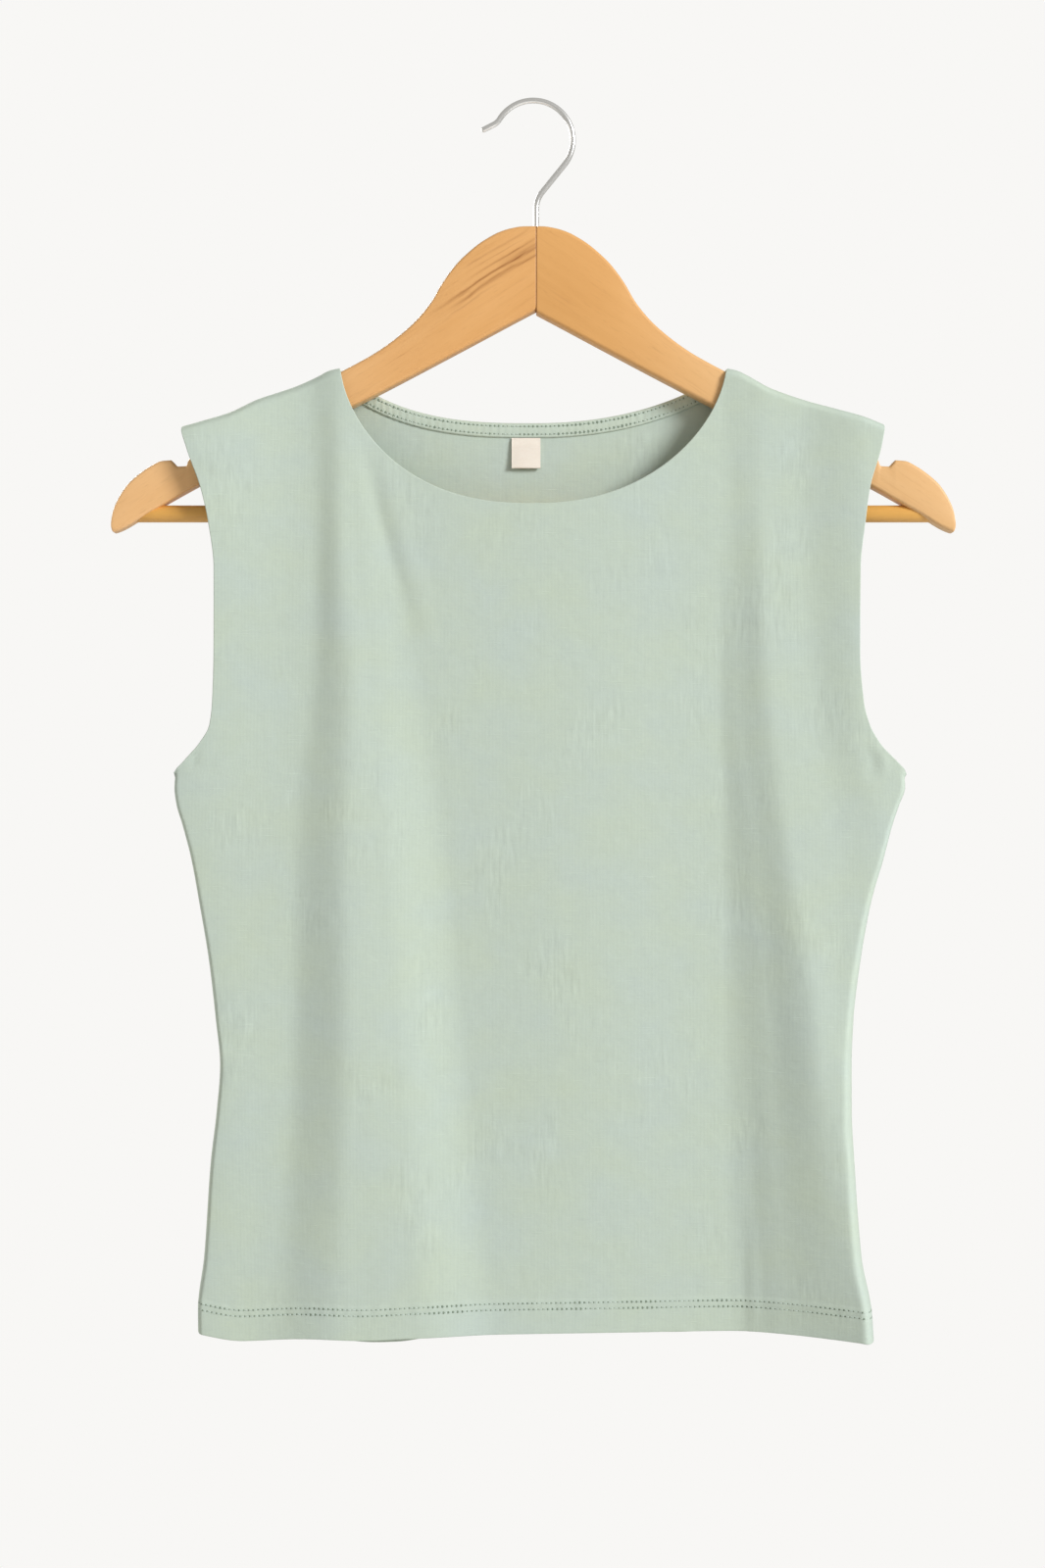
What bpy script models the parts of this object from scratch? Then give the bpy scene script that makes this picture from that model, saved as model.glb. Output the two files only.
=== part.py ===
"""Sleeveless knit top hanging on a wooden hanger.

The model is in metres with +Z up. The front of the top faces -Y. The origin is the inside
top of the hook, where a rail carries the hanger. All sizes below are in millimetres, and
heights are given as a drop below the origin. Left and right are as seen from the front.
"""
import math

import bmesh
import bpy
import numpy as np

MM = 0.001
GAP = 0.3


def table(names, *rows):
    """Rows of numbers as a dictionary of named columns."""
    return dict(zip(names, np.array(rows, float).T))


# The cloth: one wall for each panel, parted at the shoulder and side seams.
WALL = 1.2
UNDERARM_DROP = 357.0
SHOULDER_ROUND = 5.0

# The necklines: rounded scoops whose edges flick outwards where they cross the shoulder.
NECK_POINT_DROP = 140.5
NECK_HALF_WIDTH = 101.6
NECK_FLICK = 0.9
NECK_POINT_REACH = NECK_HALF_WIDTH + NECK_FLICK
FRONT_NECK = {"depth": 72.3, "left": 2.4, "right": 2.2, "power": 0.6, "columns": 16}
BACK_NECK = {"depth": 28.9, "left": 2.8, "right": 2.2, "power": 0.875, "columns": 12}

# The shoulder seams, from the armhole to the neck.
SHOULDERS = table(
    ("reach", "left", "right"),
    (102.5, 140.5, 140.5),
    (107.0, 141.4, 141.4),
    (113.6, 144.7, 144.6),
    (123.9, 149.4, 150.4),
    (132.8, 152.6, 153.9),
    (145.2, 156.8, 158.0),
    (160.0, 163.9, 162.1),
    (173.7, 168.2, 166.0),
    (184.4, 171.3, 170.3),
)

# The armhole edges down to the underarm, and below it the side seams down to the hem.
SIDES = table(
    ("drop", "left", "right"),
    (170.3, 184.4, 184.4),
    (171.3, 184.4, 184.2),
    (185.0, 181.0, 181.6),
    (203.6, 174.3, 176.2),
    (222.0, 170.1, 173.6),
    (247.0, 167.2, 171.0),
    (290.0, 167.4, 170.7),
    (317.0, 168.2, 172.6),
    (329.3, 169.7, 175.8),
    (339.6, 175.5, 181.6),
    (348.3, 183.1, 189.8),
    (355.0, 188.6, 195.3),
    (362.0, 189.4, 196.0),
    (371.0, 188.3, 193.0),
    (381.0, 185.3, 189.6),
    (400.0, 180.4, 184.6),
    (422.5, 176.3, 178.2),
    (453.6, 171.1, 172.6),
    (484.7, 167.5, 168.9),
    (508.0, 165.3, 168.0),
    (531.4, 167.0, 168.0),
    (560.0, 170.3, 169.4),
    (609.0, 173.7, 173.0),
    (637.0, 177.0, 178.2),
    (652.0, 176.8, 179.2),
)

# The hems, which meet at the side seams. The back one dips left of the middle.
FRONT_HEM = table(
    ("x", "drop"),
    (-176.8, 648.0),
    (-152.0, 652.0),
    (-115.0, 650.0),
    (-40.0, 650.3),
    (60.0, 648.5),
    (110.0, 647.9),
    (167.0, 650.0),
    (179.2, 651.3),
)
BACK_HEM = table(
    ("x", "drop"),
    (-176.8, 648.0),
    (-120.0, 655.0),
    (-75.0, 658.0),
    (-40.0, 657.5),
    (0.0, 654.0),
    (60.0, 652.0),
    (179.2, 651.3),
)

# How far in from each side seam the cloth turns towards the other panel.
SIDE_ROUNDS = table(
    ("drop", "left", "right"),
    (357.0, 7.0, 8.0),
    (500.0, 6.0, 8.0),
    (650.0, 6.0, 8.0),
)

# The largest folds, from left to right: where each crest, valley or flank runs, and how far
# it stands out from the seams, at five levels.
FOLD_LEVELS = np.array([215.0, 310.0, 390.0, 500.0, 650.0])
FOLD_COLUMNS = ("x_yoke", "out_yoke", "x_chest", "out_chest", "x_bust", "out_bust",
                "x_waist", "out_waist", "x_hem", "out_hem")
FRONT_FOLDS = table(
    FOLD_COLUMNS,
    (-165.0, 15.0, -166.0, 11.5, -172.0, 11.6, -163.0, 12.4, -172.0, 12.6),
    (-124.0, 8.8, -122.0, 8.3, -127.0, 10.2, -129.0, 11.4, -140.0, 12.4),
    (-106.0, 10.4, -96.0, 12.6, -97.0, 15.4, -95.0, 17.3, -104.0, 16.3),
    (-97.0, 10.2, -86.0, 11.6, -80.0, 13.9, -72.0, 15.2, -60.0, 14.9),
    (-84.0, 9.0, -60.0, 7.7, -44.0, 7.2, -34.0, 7.4, -18.0, 8.4),
    (10.0, 9.6, 20.0, 7.9, 15.0, 8.0, 22.0, 8.2, 18.0, 7.9),
    (92.0, 8.8, 98.0, 6.5, 99.0, 6.6, 100.0, 6.6, 103.0, 6.6),
    (106.0, 9.4, 111.0, 9.0, 117.0, 10.5, 127.0, 11.9, 132.0, 13.0),
    (119.0, 10.0, 128.0, 12.0, 135.0, 14.4, 152.0, 20.0, 160.0, 21.2),
    (168.0, 13.5, 168.0, 13.6, 176.0, 15.2, 166.0, 18.6, 178.5, 27.0),
)
BACK_FOLDS = table(
    FOLD_COLUMNS,
    (-165.0, 9.2, -165.0, 9.8, -165.0, 10.2, -160.0, 10.6, -168.0, 11.0),
    (-120.0, 9.4, -118.0, 11.2, -115.0, 12.6, -112.0, 14.0, -115.0, 16.5),
    (-70.0, 9.2, -66.0, 9.0, -63.0, 9.0, -60.0, 9.0, -56.0, 10.0),
    (-5.0, 9.4, 0.0, 10.0, 4.0, 11.0, 8.0, 12.0, 10.0, 14.0),
    (55.0, 9.2, 58.0, 9.0, 62.0, 8.8, 66.0, 8.5, 72.0, 8.0),
    (115.0, 9.4, 118.0, 11.0, 121.0, 12.4, 124.0, 14.0, 128.0, 17.5),
    (165.0, 9.2, 168.0, 10.0, 168.0, 10.4, 163.0, 10.8, 172.0, 11.5),
)

# The grid of a panel: how far in from the side and down from the top its close-set lines
# lie, how many columns there are along a shoulder, and where its rows lie.
EDGE_COLUMNS = (0.0, 0.6, 2.3, 5.0, 8.0)
EDGE_ROWS = (0.0, 0.38, 1.46, 3.1, 5.0)
SHOULDER_COLUMNS = 4
BODY_ROWS = (10, 20, 35, 52, 70, 88, 106, 124, 140, 152, 161, 169, 176, 183, 190, 200, 214,
             232, 258, 286, 314, 342, 370, 398, 426, 454, 480)
SIDE_LENGTH = 480.0

# Edges that turn more sharply than this show as creases.
CLOTH_CREASE = math.radians(50)
WOOD_CREASE = math.radians(35)

# The band stitched inside the back neck, and the label that hangs from it.
BAND_WIDTH = 6.0
BAND_THICK = 1.0
BAND_END_REACH = 92.0
BAND_COLUMNS = 17
BAND_ROWS = 3
LABEL_WIDTH = 15.3
LABEL_HEIGHT = 16.3
LABEL_THICK = 1.0
LABEL_MIDDLE_X = -3.8
LABEL_LIFT = 1.6
LABEL_COLUMNS = 4
LABEL_ROWS = 5

# The hanger: two flat wooden arms that butt at the hook, and a round bar between them.
ARM_THICK = 12.0
ARM_EDGE_ROUND = 2.2
SEAM_X = 1.56
ARM_TOP = table(
    ("reach", "drop"),
    (-4.0, 65.8), (5.2, 65.9), (12.0, 67.0), (18.2, 69.0), (23.9, 72.0), (29.0, 75.3),
    (32.7, 78.3), (36.3, 81.5), (39.4, 84.5), (42.0, 87.5), (45.0, 91.4), (48.7, 96.9),
    (53.0, 104.5), (58.0, 111.3), (63.0, 116.8), (69.0, 122.2), (76.0, 127.7), (84.0, 133.1),
    (92.8, 138.1), (102.4, 143.2), (181.5, 188.9),
)
NOTCH_IN = 181.5
NOTCH_OUT = 191.0
NOTCH_FLOOR_DROP = 192.5
NOTCH_WALL = 0.5
TIP_TOP = table(
    ("reach", "drop"),
    (191.5, 189.3), (196.0, 189.7), (202.3, 192.7), (206.9, 195.8), (211.1, 199.2),
    (214.2, 202.3), (217.0, 206.2), (219.3, 210.2), (221.0, 214.0), (222.1, 218.0),
    (222.5, 221.0),
)
ARM_BOTTOM = table(
    ("reach", "drop"),
    (-4.0, 112.3), (0.0, 112.4), (7.8, 115.0), (35.8, 130.0), (77.8, 152.2), (177.1, 202.8),
    (202.8, 217.2), (220.4, 227.1), (221.4, 227.3), (222.1, 226.6), (222.5, 225.4),
)
BAR_RADIUS = 4.5
BAR_DROP = 217.3
BAR_HALF_LENGTH = 216.0
SOCKET_BORE = 30.0
SECTION_STEP = 1.0

# The wire hook: a stem set in the wood, a slanting neck, an arc over the rail, a flared tip.
WIRE_RADIUS = 1.5
HOOK_RADIUS = 21.0
STEM_HOLE_DEPTH = 12.0
STEM_BORE_START = 5.0
NECK_ANGLE = math.radians(-39.0)
NECK_BEND_RADIUS = 14.0
ARC_END_ANGLE = math.radians(148.0)
FLARE_RADIUS = 8.0
FLARE_TURN = math.radians(31.0)
TIP_STRAIGHT = 7.3


def curve_through(knots, values, at):
    """Smooth curve through a table's rows that never swings past them.

    Each piece is a cubic whose end slopes are the harmonic mean of the straight slopes on
    either side, and level at a crest or a valley.
    """
    step = np.diff(knots)
    rise = np.diff(values) / step
    slope = np.concatenate([rise[:1], np.zeros(len(rise) - 1), rise[-1:]])
    same_way = rise[:-1] * rise[1:] > 0
    total = np.where(same_way, rise[:-1] + rise[1:], 1.0)
    slope[1:-1] = np.where(same_way, 2 * rise[:-1] * rise[1:] / total, 0.0)
    at = np.clip(at, knots[0], knots[-1])
    i = np.clip(np.searchsorted(knots, at, side="right") - 1, 0, len(step) - 1)
    t = (at - knots[i]) / step[i]
    start = values[i] * (1 + 2 * t) * (1 - t) ** 2 + slope[i] * step[i] * t * (1 - t) ** 2
    end = values[i + 1] * t * t * (3 - 2 * t) - slope[i + 1] * step[i] * t * t * (1 - t)
    return start + end


def quarter_round(distance, radius):
    """Rise from 0 at an edge to 1 at the radius, along a quarter of an ellipse."""
    t = np.clip(distance / radius, 0.0, 1.0)
    return np.sqrt(1.0 - (1.0 - t) ** 2)


def shoulder_drop(x):
    """Drop of the shoulder seam at x, carried level across the neck."""
    left = curve_through(SHOULDERS["reach"], SHOULDERS["left"], np.abs(x))
    right = curve_through(SHOULDERS["reach"], SHOULDERS["right"], np.abs(x))
    return np.where(x < 0, left, right)


def side_x(drop, side):
    """Where the armhole edge or side seam runs: side is -1 on the left and 1 on the right."""
    column = "left" if side < 0 else "right"
    return side * curve_through(SIDES["drop"], SIDES[column], drop)


def neck_drop(x, neck):
    """Drop of a neckline at x: a rounded scoop below the neck points, whose left and right
    halves are each as full as their own exponent says."""
    across = np.clip(np.abs(x) / NECK_HALF_WIDTH, 0.0, 1.0)
    fullness = np.where(x < 0, neck["left"], neck["right"])
    return NECK_POINT_DROP + neck["depth"] * (1.0 - across ** fullness) ** neck["power"]


def neck_reach(below, neck, half):
    """Reach of one half of a neckline at a distance below the neck point, with the flick."""
    flick = NECK_FLICK * np.maximum(1.0 - below / SHOULDER_ROUND, 0.0) ** 2
    scoop = (1.0 - (below / neck["depth"]) ** (1.0 / neck["power"])) ** (1.0 / neck[half])
    return NECK_HALF_WIDTH * scoop + flick


def edge_turn(x, drop):
    """How fully the cloth has turned out of the shoulder and side seams, from 0 to 1.

    It turns within a small round below the shoulder seam. Beside a side seam it turns within
    that side's round, measured level below the underarm and from the underarm point above it.
    """
    turn = quarter_round(drop - shoulder_drop(x), SHOULDER_ROUND)
    for side, column in ((-1, "left"), (1, "right")):
        radius = curve_through(SIDE_ROUNDS["drop"], SIDE_ROUNDS[column], drop)
        beside = np.maximum(side * (side_x(np.maximum(drop, UNDERARM_DROP), side) - x), 0.0)
        above = np.maximum(UNDERARM_DROP - drop, 0.0)
        turn = turn * quarter_round(np.hypot(beside, above), radius)
    return turn


def fold_depth(folds, x, drop):
    """How far the folds carry the cloth out at x: a smooth curve through the lines, which is
    level at each crest and valley and beyond the outermost lines."""
    lines = len(folds["x_yoke"])
    at = np.empty((lines,) + x.shape)
    out = np.empty_like(at)
    for i in range(lines):
        path = np.array([folds[name][i] for name in FOLD_COLUMNS])
        at[i] = curve_through(FOLD_LEVELS, path[0::2], drop)
        out[i] = curve_through(FOLD_LEVELS, path[1::2], drop)
    step = np.diff(at, axis=0)
    rise = np.diff(out, axis=0)
    grade = rise / step
    same_way = grade[:-1] * grade[1:] > 0
    total = np.where(same_way, grade[:-1] + grade[1:], 1.0)
    slope = np.zeros_like(out)
    slope[1:-1] = np.where(same_way, 2 * grade[:-1] * grade[1:] / total, 0.0)
    depth = out[0]
    for i in range(lines - 1):
        t = np.clip((x - at[i]) / step[i], 0.0, 1.0)
        lean = slope[i] * t * (1 - t) ** 2 - slope[i + 1] * t * t * (1 - t)
        depth = depth + rise[i] * t * t * (3 - 2 * t) + step[i] * lean
    return depth


def panel_depth(folds, x, drop):
    """Distance of a panel's outer face from the plane of the seams."""
    return GAP / 2 + fold_depth(folds, x, drop) * edge_turn(x, drop)


def neckline_points(neck):
    """Points (x, drop) along a neckline between its neck points, from left to right.

    The first and last few step over the shoulder, and the rest lie at even angles.
    """
    below = np.array(EDGE_ROWS[1:])
    left_x = -neck_reach(below, neck, "left")
    right_x = neck_reach(below, neck, "right")[::-1]
    start, end = np.arcsin([left_x[-1] / NECK_HALF_WIDTH, right_x[0] / NECK_HALF_WIDTH])
    scoop_x = NECK_HALF_WIDTH * np.sin(np.linspace(start, end, neck["columns"] + 1)[1:-1])
    corner_drop = NECK_POINT_DROP + below
    x = np.concatenate([left_x, scoop_x, right_x])
    drop = np.concatenate([corner_drop, neck_drop(scoop_x, neck), corner_drop[::-1]])
    return x, drop


def panel_top(neck):
    """Points (x, drop) along a panel's shoulders and neckline, from left to right."""
    edge = SHOULDERS["reach"][-1] - np.array(EDGE_COLUMNS)
    rest = np.linspace(edge[-1], NECK_POINT_REACH, SHOULDER_COLUMNS + 1)[1:]
    reach = np.concatenate([edge, rest])
    neck_x, neck_drops = neckline_points(neck)
    x = np.concatenate([-reach, neck_x, reach[::-1]])
    drop = shoulder_drop(x)
    drop[len(reach):-len(reach)] = neck_drops
    return x, drop


def panel_outline_grid(neck, hem):
    """Level place and drop of each grid point, blended between the panel's four edges."""
    top_x, top_drop = panel_top(neck)
    down = np.array(EDGE_ROWS + BODY_ROWS) / SIDE_LENGTH
    width = hem["x"][-1] - hem["x"][0]
    strip = np.array(EDGE_COLUMNS) / width
    between = np.linspace(strip[-1], 1 - strip[-1], len(top_x) - 2 * len(strip) + 2)[1:-1]
    share = np.concatenate([strip, between, 1 - strip[::-1]])
    hem_x = hem["x"][0] + share * width
    hem_drop = curve_through(hem["x"], hem["drop"], hem_x)
    s, t = np.meshgrid(share, down)
    drop = (1 - t) * top_drop + t * hem_drop
    left_drop = (1 - down) * top_drop[0] + down * hem_drop[0]
    right_drop = (1 - down) * top_drop[-1] + down * hem_drop[-1]
    left_off = side_x(left_drop, -1) - ((1 - down) * top_x[0] + down * hem_x[0])
    right_off = side_x(right_drop, 1) - ((1 - down) * top_x[-1] + down * hem_x[-1])
    x = (1 - t) * top_x + t * hem_x + (1 - s) * left_off[:, None] + s * right_off[:, None]
    return x, drop


def grid_normals(points):
    """Unit normals of a grid of points, each the mean of its neighbouring cells."""
    across = points[:-1, 1:] - points[1:, :-1]
    down = points[1:, 1:] - points[:-1, :-1]
    cell = np.cross(across, down)
    cell /= np.linalg.norm(cell, axis=2, keepdims=True)
    padded = np.pad(cell, ((1, 1), (1, 1), (0, 0)))
    total = padded[:-1, :-1] + padded[1:, :-1] + padded[:-1, 1:] + padded[1:, 1:]
    return total / np.linalg.norm(total, axis=2, keepdims=True)


def panel_grids(facing, folds, neck, hem):
    """Outer and inner points of a panel: facing is -1 for the front and 1 for the back."""
    x, drop = panel_outline_grid(neck, hem)
    outer = np.stack([x, facing * panel_depth(folds, x, drop), -drop], axis=2)
    normal = grid_normals(outer)
    outward = np.sign(np.sum(normal[..., 1]) * facing)
    normal = normal * outward
    shoulder = len(EDGE_COLUMNS) + SHOULDER_COLUMNS
    normal[0, :shoulder, 1] = 0.0
    normal[0, -shoulder:, 1] = 0.0
    for column in (0, -1):
        normal[drop[:, column] >= UNDERARM_DROP, column, 1] = 0.0
    normal /= np.linalg.norm(normal, axis=2, keepdims=True)
    return outer, outer - WALL * normal


def closed_wall(outer, inner):
    """Points and faces of the closed solid between two grids of the same size."""
    rows, columns = outer.shape[:2]
    index = np.arange(rows * columns).reshape(rows, columns)
    quads = np.stack([index[:-1, :-1], index[1:, :-1], index[1:, 1:], index[:-1, 1:]], axis=2)
    quads = quads.reshape(-1, 4)
    rim = np.concatenate([index[0, :-1], index[:-1, -1], index[-1, :0:-1], index[:0:-1, 0]])
    after = np.roll(rim, -1)
    count = rows * columns
    walls = np.stack([rim, after, after + count, rim + count], axis=1)
    faces = np.concatenate([quads, quads[:, ::-1] + count, walls]).tolist()
    return np.concatenate([outer.reshape(-1, 3), inner.reshape(-1, 3)]), faces


def add_material(thing, color, roughness, metallic=0.0):
    """Give an object its own finish; color is in display values from 0 to 255."""
    shown = np.array(color) / 255.0
    linear = np.where(shown <= 0.04045, shown / 12.92, ((shown + 0.055) / 1.055) ** 2.4)
    material = bpy.data.materials.new(thing.name)
    material.use_nodes = True
    shader = material.node_tree.nodes["Principled BSDF"]
    shader.inputs["Base Color"].default_value = (*linear, 1.0)
    shader.inputs["Roughness"].default_value = roughness
    shader.inputs["Metallic"].default_value = metallic
    material.diffuse_color = (*linear, 1.0)
    thing.data.materials.append(material)


def add_mesh(name, points, faces, crease):
    """A mesh object from points in millimetres, with its faces turned outwards."""
    mesh = bpy.data.meshes.new(name)
    mesh.from_pydata((points * MM).tolist(), [], faces)
    shape = bmesh.new()
    shape.from_mesh(mesh)
    bmesh.ops.recalc_face_normals(shape, faces=shape.faces)
    shape.to_mesh(mesh)
    shape.free()
    mesh.shade_smooth()
    mesh.set_sharp_from_angle(angle=crease)
    thing = bpy.data.objects.new(name, mesh)
    bpy.context.scene.collection.objects.link(thing)
    return thing


def add_loft(name, sections):
    """A closed solid through rings of points, with a flat face on its first and last ring."""
    count, around = sections.shape[:2]
    index = np.arange(count * around).reshape(count, around)
    after = np.roll(index, -1, axis=1)
    sides = np.stack([index[:-1], after[:-1], after[1:], index[1:]], axis=2).reshape(-1, 4)
    faces = sides.tolist() + [index[0].tolist(), index[-1][::-1].tolist()]
    return add_mesh(name, sections.reshape(-1, 3), faces, WOOD_CREASE)


def rod(name, radius, start, end, sides=20):
    """A round rod between two points, in millimetres."""
    start = np.array(start, float)
    end = np.array(end, float)
    along = (end - start) / np.linalg.norm(end - start)
    level = np.array([0.0, 1.0, 0.0])
    other = np.cross(along, level)
    angle = np.arange(sides) * 2 * math.pi / sides
    ring = radius * (np.cos(angle)[:, None] * level + np.sin(angle)[:, None] * other)
    return add_loft(name, np.stack([start + ring, end + ring]))


def bore(thing, name, radius, start, end):
    """Cut a round hole, bored between two points, out of an object."""
    cutter = rod(name, radius, start, end)
    cutter.hide_render = True
    cutter.display_type = "WIRE"
    cut = thing.modifiers.new(name, "BOOLEAN")
    cut.operation = "DIFFERENCE"
    cut.solver = "EXACT"
    cut.object = cutter


def make_panel(name, facing, folds, neck, hem, color):
    """Front or back of the top: a wall of even thickness, cut to the garment's outline."""
    outer, inner = panel_grids(facing, folds, neck, hem)
    points, faces = closed_wall(outer, inner)
    panel = add_mesh(name, points, faces, CLOTH_CREASE)
    add_material(panel, color, 0.9)


def make_neck_band(color):
    """Band laid inside the back neck, made from the back panel's points moved inwards."""
    widest = math.asin(BAND_END_REACH / NECK_HALF_WIDTH)
    edge_x = NECK_HALF_WIDTH * np.sin(np.linspace(-widest, widest, BAND_COLUMNS))
    edge_drop = neck_drop(edge_x, BACK_NECK)
    along = np.stack([np.gradient(edge_x), np.gradient(edge_drop)], axis=1)
    along /= np.linalg.norm(along, axis=1, keepdims=True)
    down = np.linspace(0.0, BAND_WIDTH, BAND_ROWS)[:, None]
    x = edge_x - down * along[:, 1]
    drop = edge_drop + down * along[:, 0]
    inside = panel_depth(BACK_FOLDS, x, drop) - WALL - GAP
    near = np.stack([x, inside, -drop], axis=2)
    far = near - np.array([0.0, BAND_THICK, 0.0])
    points, faces = closed_wall(near, far)
    band = add_mesh("neck_band", points, faces, CLOTH_CREASE)
    add_material(band, color, 0.9)


def make_label():
    """Folded label that hangs below the band and stands off the back at its free end."""
    across = np.linspace(-LABEL_WIDTH / 2, LABEL_WIDTH / 2, LABEL_COLUMNS)
    down = np.linspace(0.0, LABEL_HEIGHT, LABEL_ROWS)[:, None]
    top = NECK_POINT_DROP + BACK_NECK["depth"] + BAND_WIDTH + GAP
    x, drop = np.broadcast_arrays(LABEL_MIDDLE_X + across, top + down)
    stand_off = LABEL_LIFT * (down / LABEL_HEIGHT) ** 2
    inside = panel_depth(BACK_FOLDS, x, drop) - WALL - GAP - stand_off
    near = np.stack([x, inside, -drop], axis=2)
    far = near - np.array([0.0, LABEL_THICK, 0.0])
    points, faces = closed_wall(near, far)
    label = add_mesh("size_label", points, faces, CLOTH_CREASE)
    add_material(label, (244, 231, 214), 0.6)


def arm_sections(side):
    """Rounded rectangles along an arm, from the joint at the hook out to the tip."""
    inner_reach = side * SEAM_X + GAP / 2
    reach = [inner_reach] + [r for r in ARM_TOP["reach"] if r > inner_reach + SECTION_STEP]
    reach += [NOTCH_IN + NOTCH_WALL, NOTCH_OUT] + list(TIP_TOP["reach"])
    reach = np.array(reach)
    top = np.where(reach <= NOTCH_IN,
                   curve_through(ARM_TOP["reach"], ARM_TOP["drop"], reach),
                   curve_through(TIP_TOP["reach"], TIP_TOP["drop"], reach))
    in_notch = (reach > NOTCH_IN) & (reach <= NOTCH_OUT)
    top = np.where(in_notch, NOTCH_FLOOR_DROP, top)
    bottom = curve_through(ARM_BOTTOM["reach"], ARM_BOTTOM["drop"], reach)
    rounding = np.minimum(ARM_EDGE_ROUND, (bottom - top) * 0.45)
    turn = np.radians([0, 45, 90])
    ring = []
    for side_y, side_z, start in ((1, 1, 0), (-1, 1, 90), (-1, -1, 180), (1, -1, 270)):
        for a in turn + math.radians(start):
            y = side_y * (ARM_THICK / 2 - rounding) + rounding * math.cos(a)
            middle = bottom - rounding if side_z < 0 else top + rounding
            z = -middle + rounding * math.sin(a)
            ring.append(np.stack([side * reach, y, z], axis=1))
    return np.stack(ring, axis=1)


def make_arm(name, side, color):
    """One half of the hanger: a flat arm with a notch, a socket for the bar and half the
    hole for the hook's stem."""
    arm = add_loft(name, arm_sections(side))
    socket_end = side * (BAR_HALF_LENGTH + GAP)
    socket_start = side * (BAR_HALF_LENGTH - SOCKET_BORE)
    bore(arm, name + "_socket", BAR_RADIUS + GAP,
         (socket_start, 0, -BAR_DROP), (socket_end, 0, -BAR_DROP))
    wood_top = -ARM_TOP["drop"][0]
    bore(arm, name + "_stem_hole", WIRE_RADIUS + GAP,
         (SEAM_X, 0, wood_top + STEM_BORE_START),
         (SEAM_X, 0, wood_top - STEM_HOLE_DEPTH - GAP))
    add_material(arm, color, 0.5)


def make_bar():
    """Round wooden bar, let into a socket in each arm."""
    bar = rod("hanger_bar", BAR_RADIUS, (-BAR_HALF_LENGTH, 0, -BAR_DROP),
              (BAR_HALF_LENGTH, 0, -BAR_DROP))
    add_material(bar, (215, 160, 92), 0.5)


def arc_points(middle, radius, start, end, step=math.radians(9)):
    """Points along an arc in the XZ plane, both ends included."""
    count = max(2, int(math.ceil(abs(end - start) / step)) + 1)
    angle = np.linspace(start, end, count)
    return np.stack([middle[0] + radius * np.cos(angle),
                     middle[1] + radius * np.sin(angle)], axis=1)


def hook_route():
    """Middle line of the hook's wire as (x, z), from its foot in the wood to its tip."""
    arc_middle = np.array([0.0, WIRE_RADIUS - HOOK_RADIUS])
    neck_top = arc_middle + HOOK_RADIUS * np.array([math.cos(NECK_ANGLE), math.sin(NECK_ANGLE)])
    slope = np.array([-math.sin(NECK_ANGLE), math.cos(NECK_ANGLE)])
    bend_turn = math.pi / 2 - math.atan2(slope[1], slope[0])
    corner = neck_top - slope * (neck_top[0] - SEAM_X) / slope[0]
    tangent = NECK_BEND_RADIUS * math.tan(bend_turn / 2)
    bend_middle = np.array([SEAM_X + NECK_BEND_RADIUS, corner[1] - tangent])
    foot = np.array([[SEAM_X, -ARM_TOP["drop"][0] - STEM_HOLE_DEPTH]])
    bend = arc_points(bend_middle, NECK_BEND_RADIUS, math.pi, math.pi - bend_turn)
    arc = arc_points(arc_middle, HOOK_RADIUS, NECK_ANGLE, ARC_END_ANGLE)
    outward = np.array([math.cos(ARC_END_ANGLE), math.sin(ARC_END_ANGLE)])
    flare_middle = arc[-1] + FLARE_RADIUS * outward
    flare_start = ARC_END_ANGLE + math.pi
    flare = arc_points(flare_middle, FLARE_RADIUS, flare_start, flare_start - FLARE_TURN)
    heading = ARC_END_ANGLE + math.pi / 2 - FLARE_TURN
    tip = flare[-1] + TIP_STRAIGHT * np.array([math.cos(heading), math.sin(heading)])
    return np.concatenate([foot, bend, arc, flare[1:], tip[None]])


def make_hook():
    """Bright wire hook, free to turn in its hole but shown square to the hanger."""
    route = hook_route()
    curve = bpy.data.curves.new("hanger_hook", "CURVE")
    curve.dimensions = "3D"
    curve.bevel_depth = WIRE_RADIUS * MM
    curve.bevel_resolution = 2
    curve.use_fill_caps = True
    spline = curve.splines.new("POLY")
    spline.points.add(len(route) - 1)
    for point, (x, z) in zip(spline.points, route):
        point.co = (x * MM, 0.0, z * MM, 1.0)
    hook = bpy.data.objects.new("hanger_hook", curve)
    bpy.context.scene.collection.objects.link(hook)
    add_material(hook, (221, 218, 212), 0.15, 1.0)


for thing in list(bpy.data.objects):
    bpy.data.objects.remove(thing)

make_panel("front_panel", -1, FRONT_FOLDS, FRONT_NECK, FRONT_HEM, (195, 206, 193))
make_panel("back_panel", 1, BACK_FOLDS, BACK_NECK, BACK_HEM, (192, 204, 190))
make_neck_band((187, 198, 183))
make_label()
make_arm("hanger_left_arm", -1, (231, 177, 115))
make_arm("hanger_right_arm", 1, (227, 169, 104))
make_bar()
make_hook()
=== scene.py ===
"""Sleeveless knit top on a wooden hanger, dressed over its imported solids.

The sizes in the tables are in millimetres, and a drop is measured down from the inside top of
the hook, which is the origin. Left and right are as seen from the front, which faces -Y.
"""
import math

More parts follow.
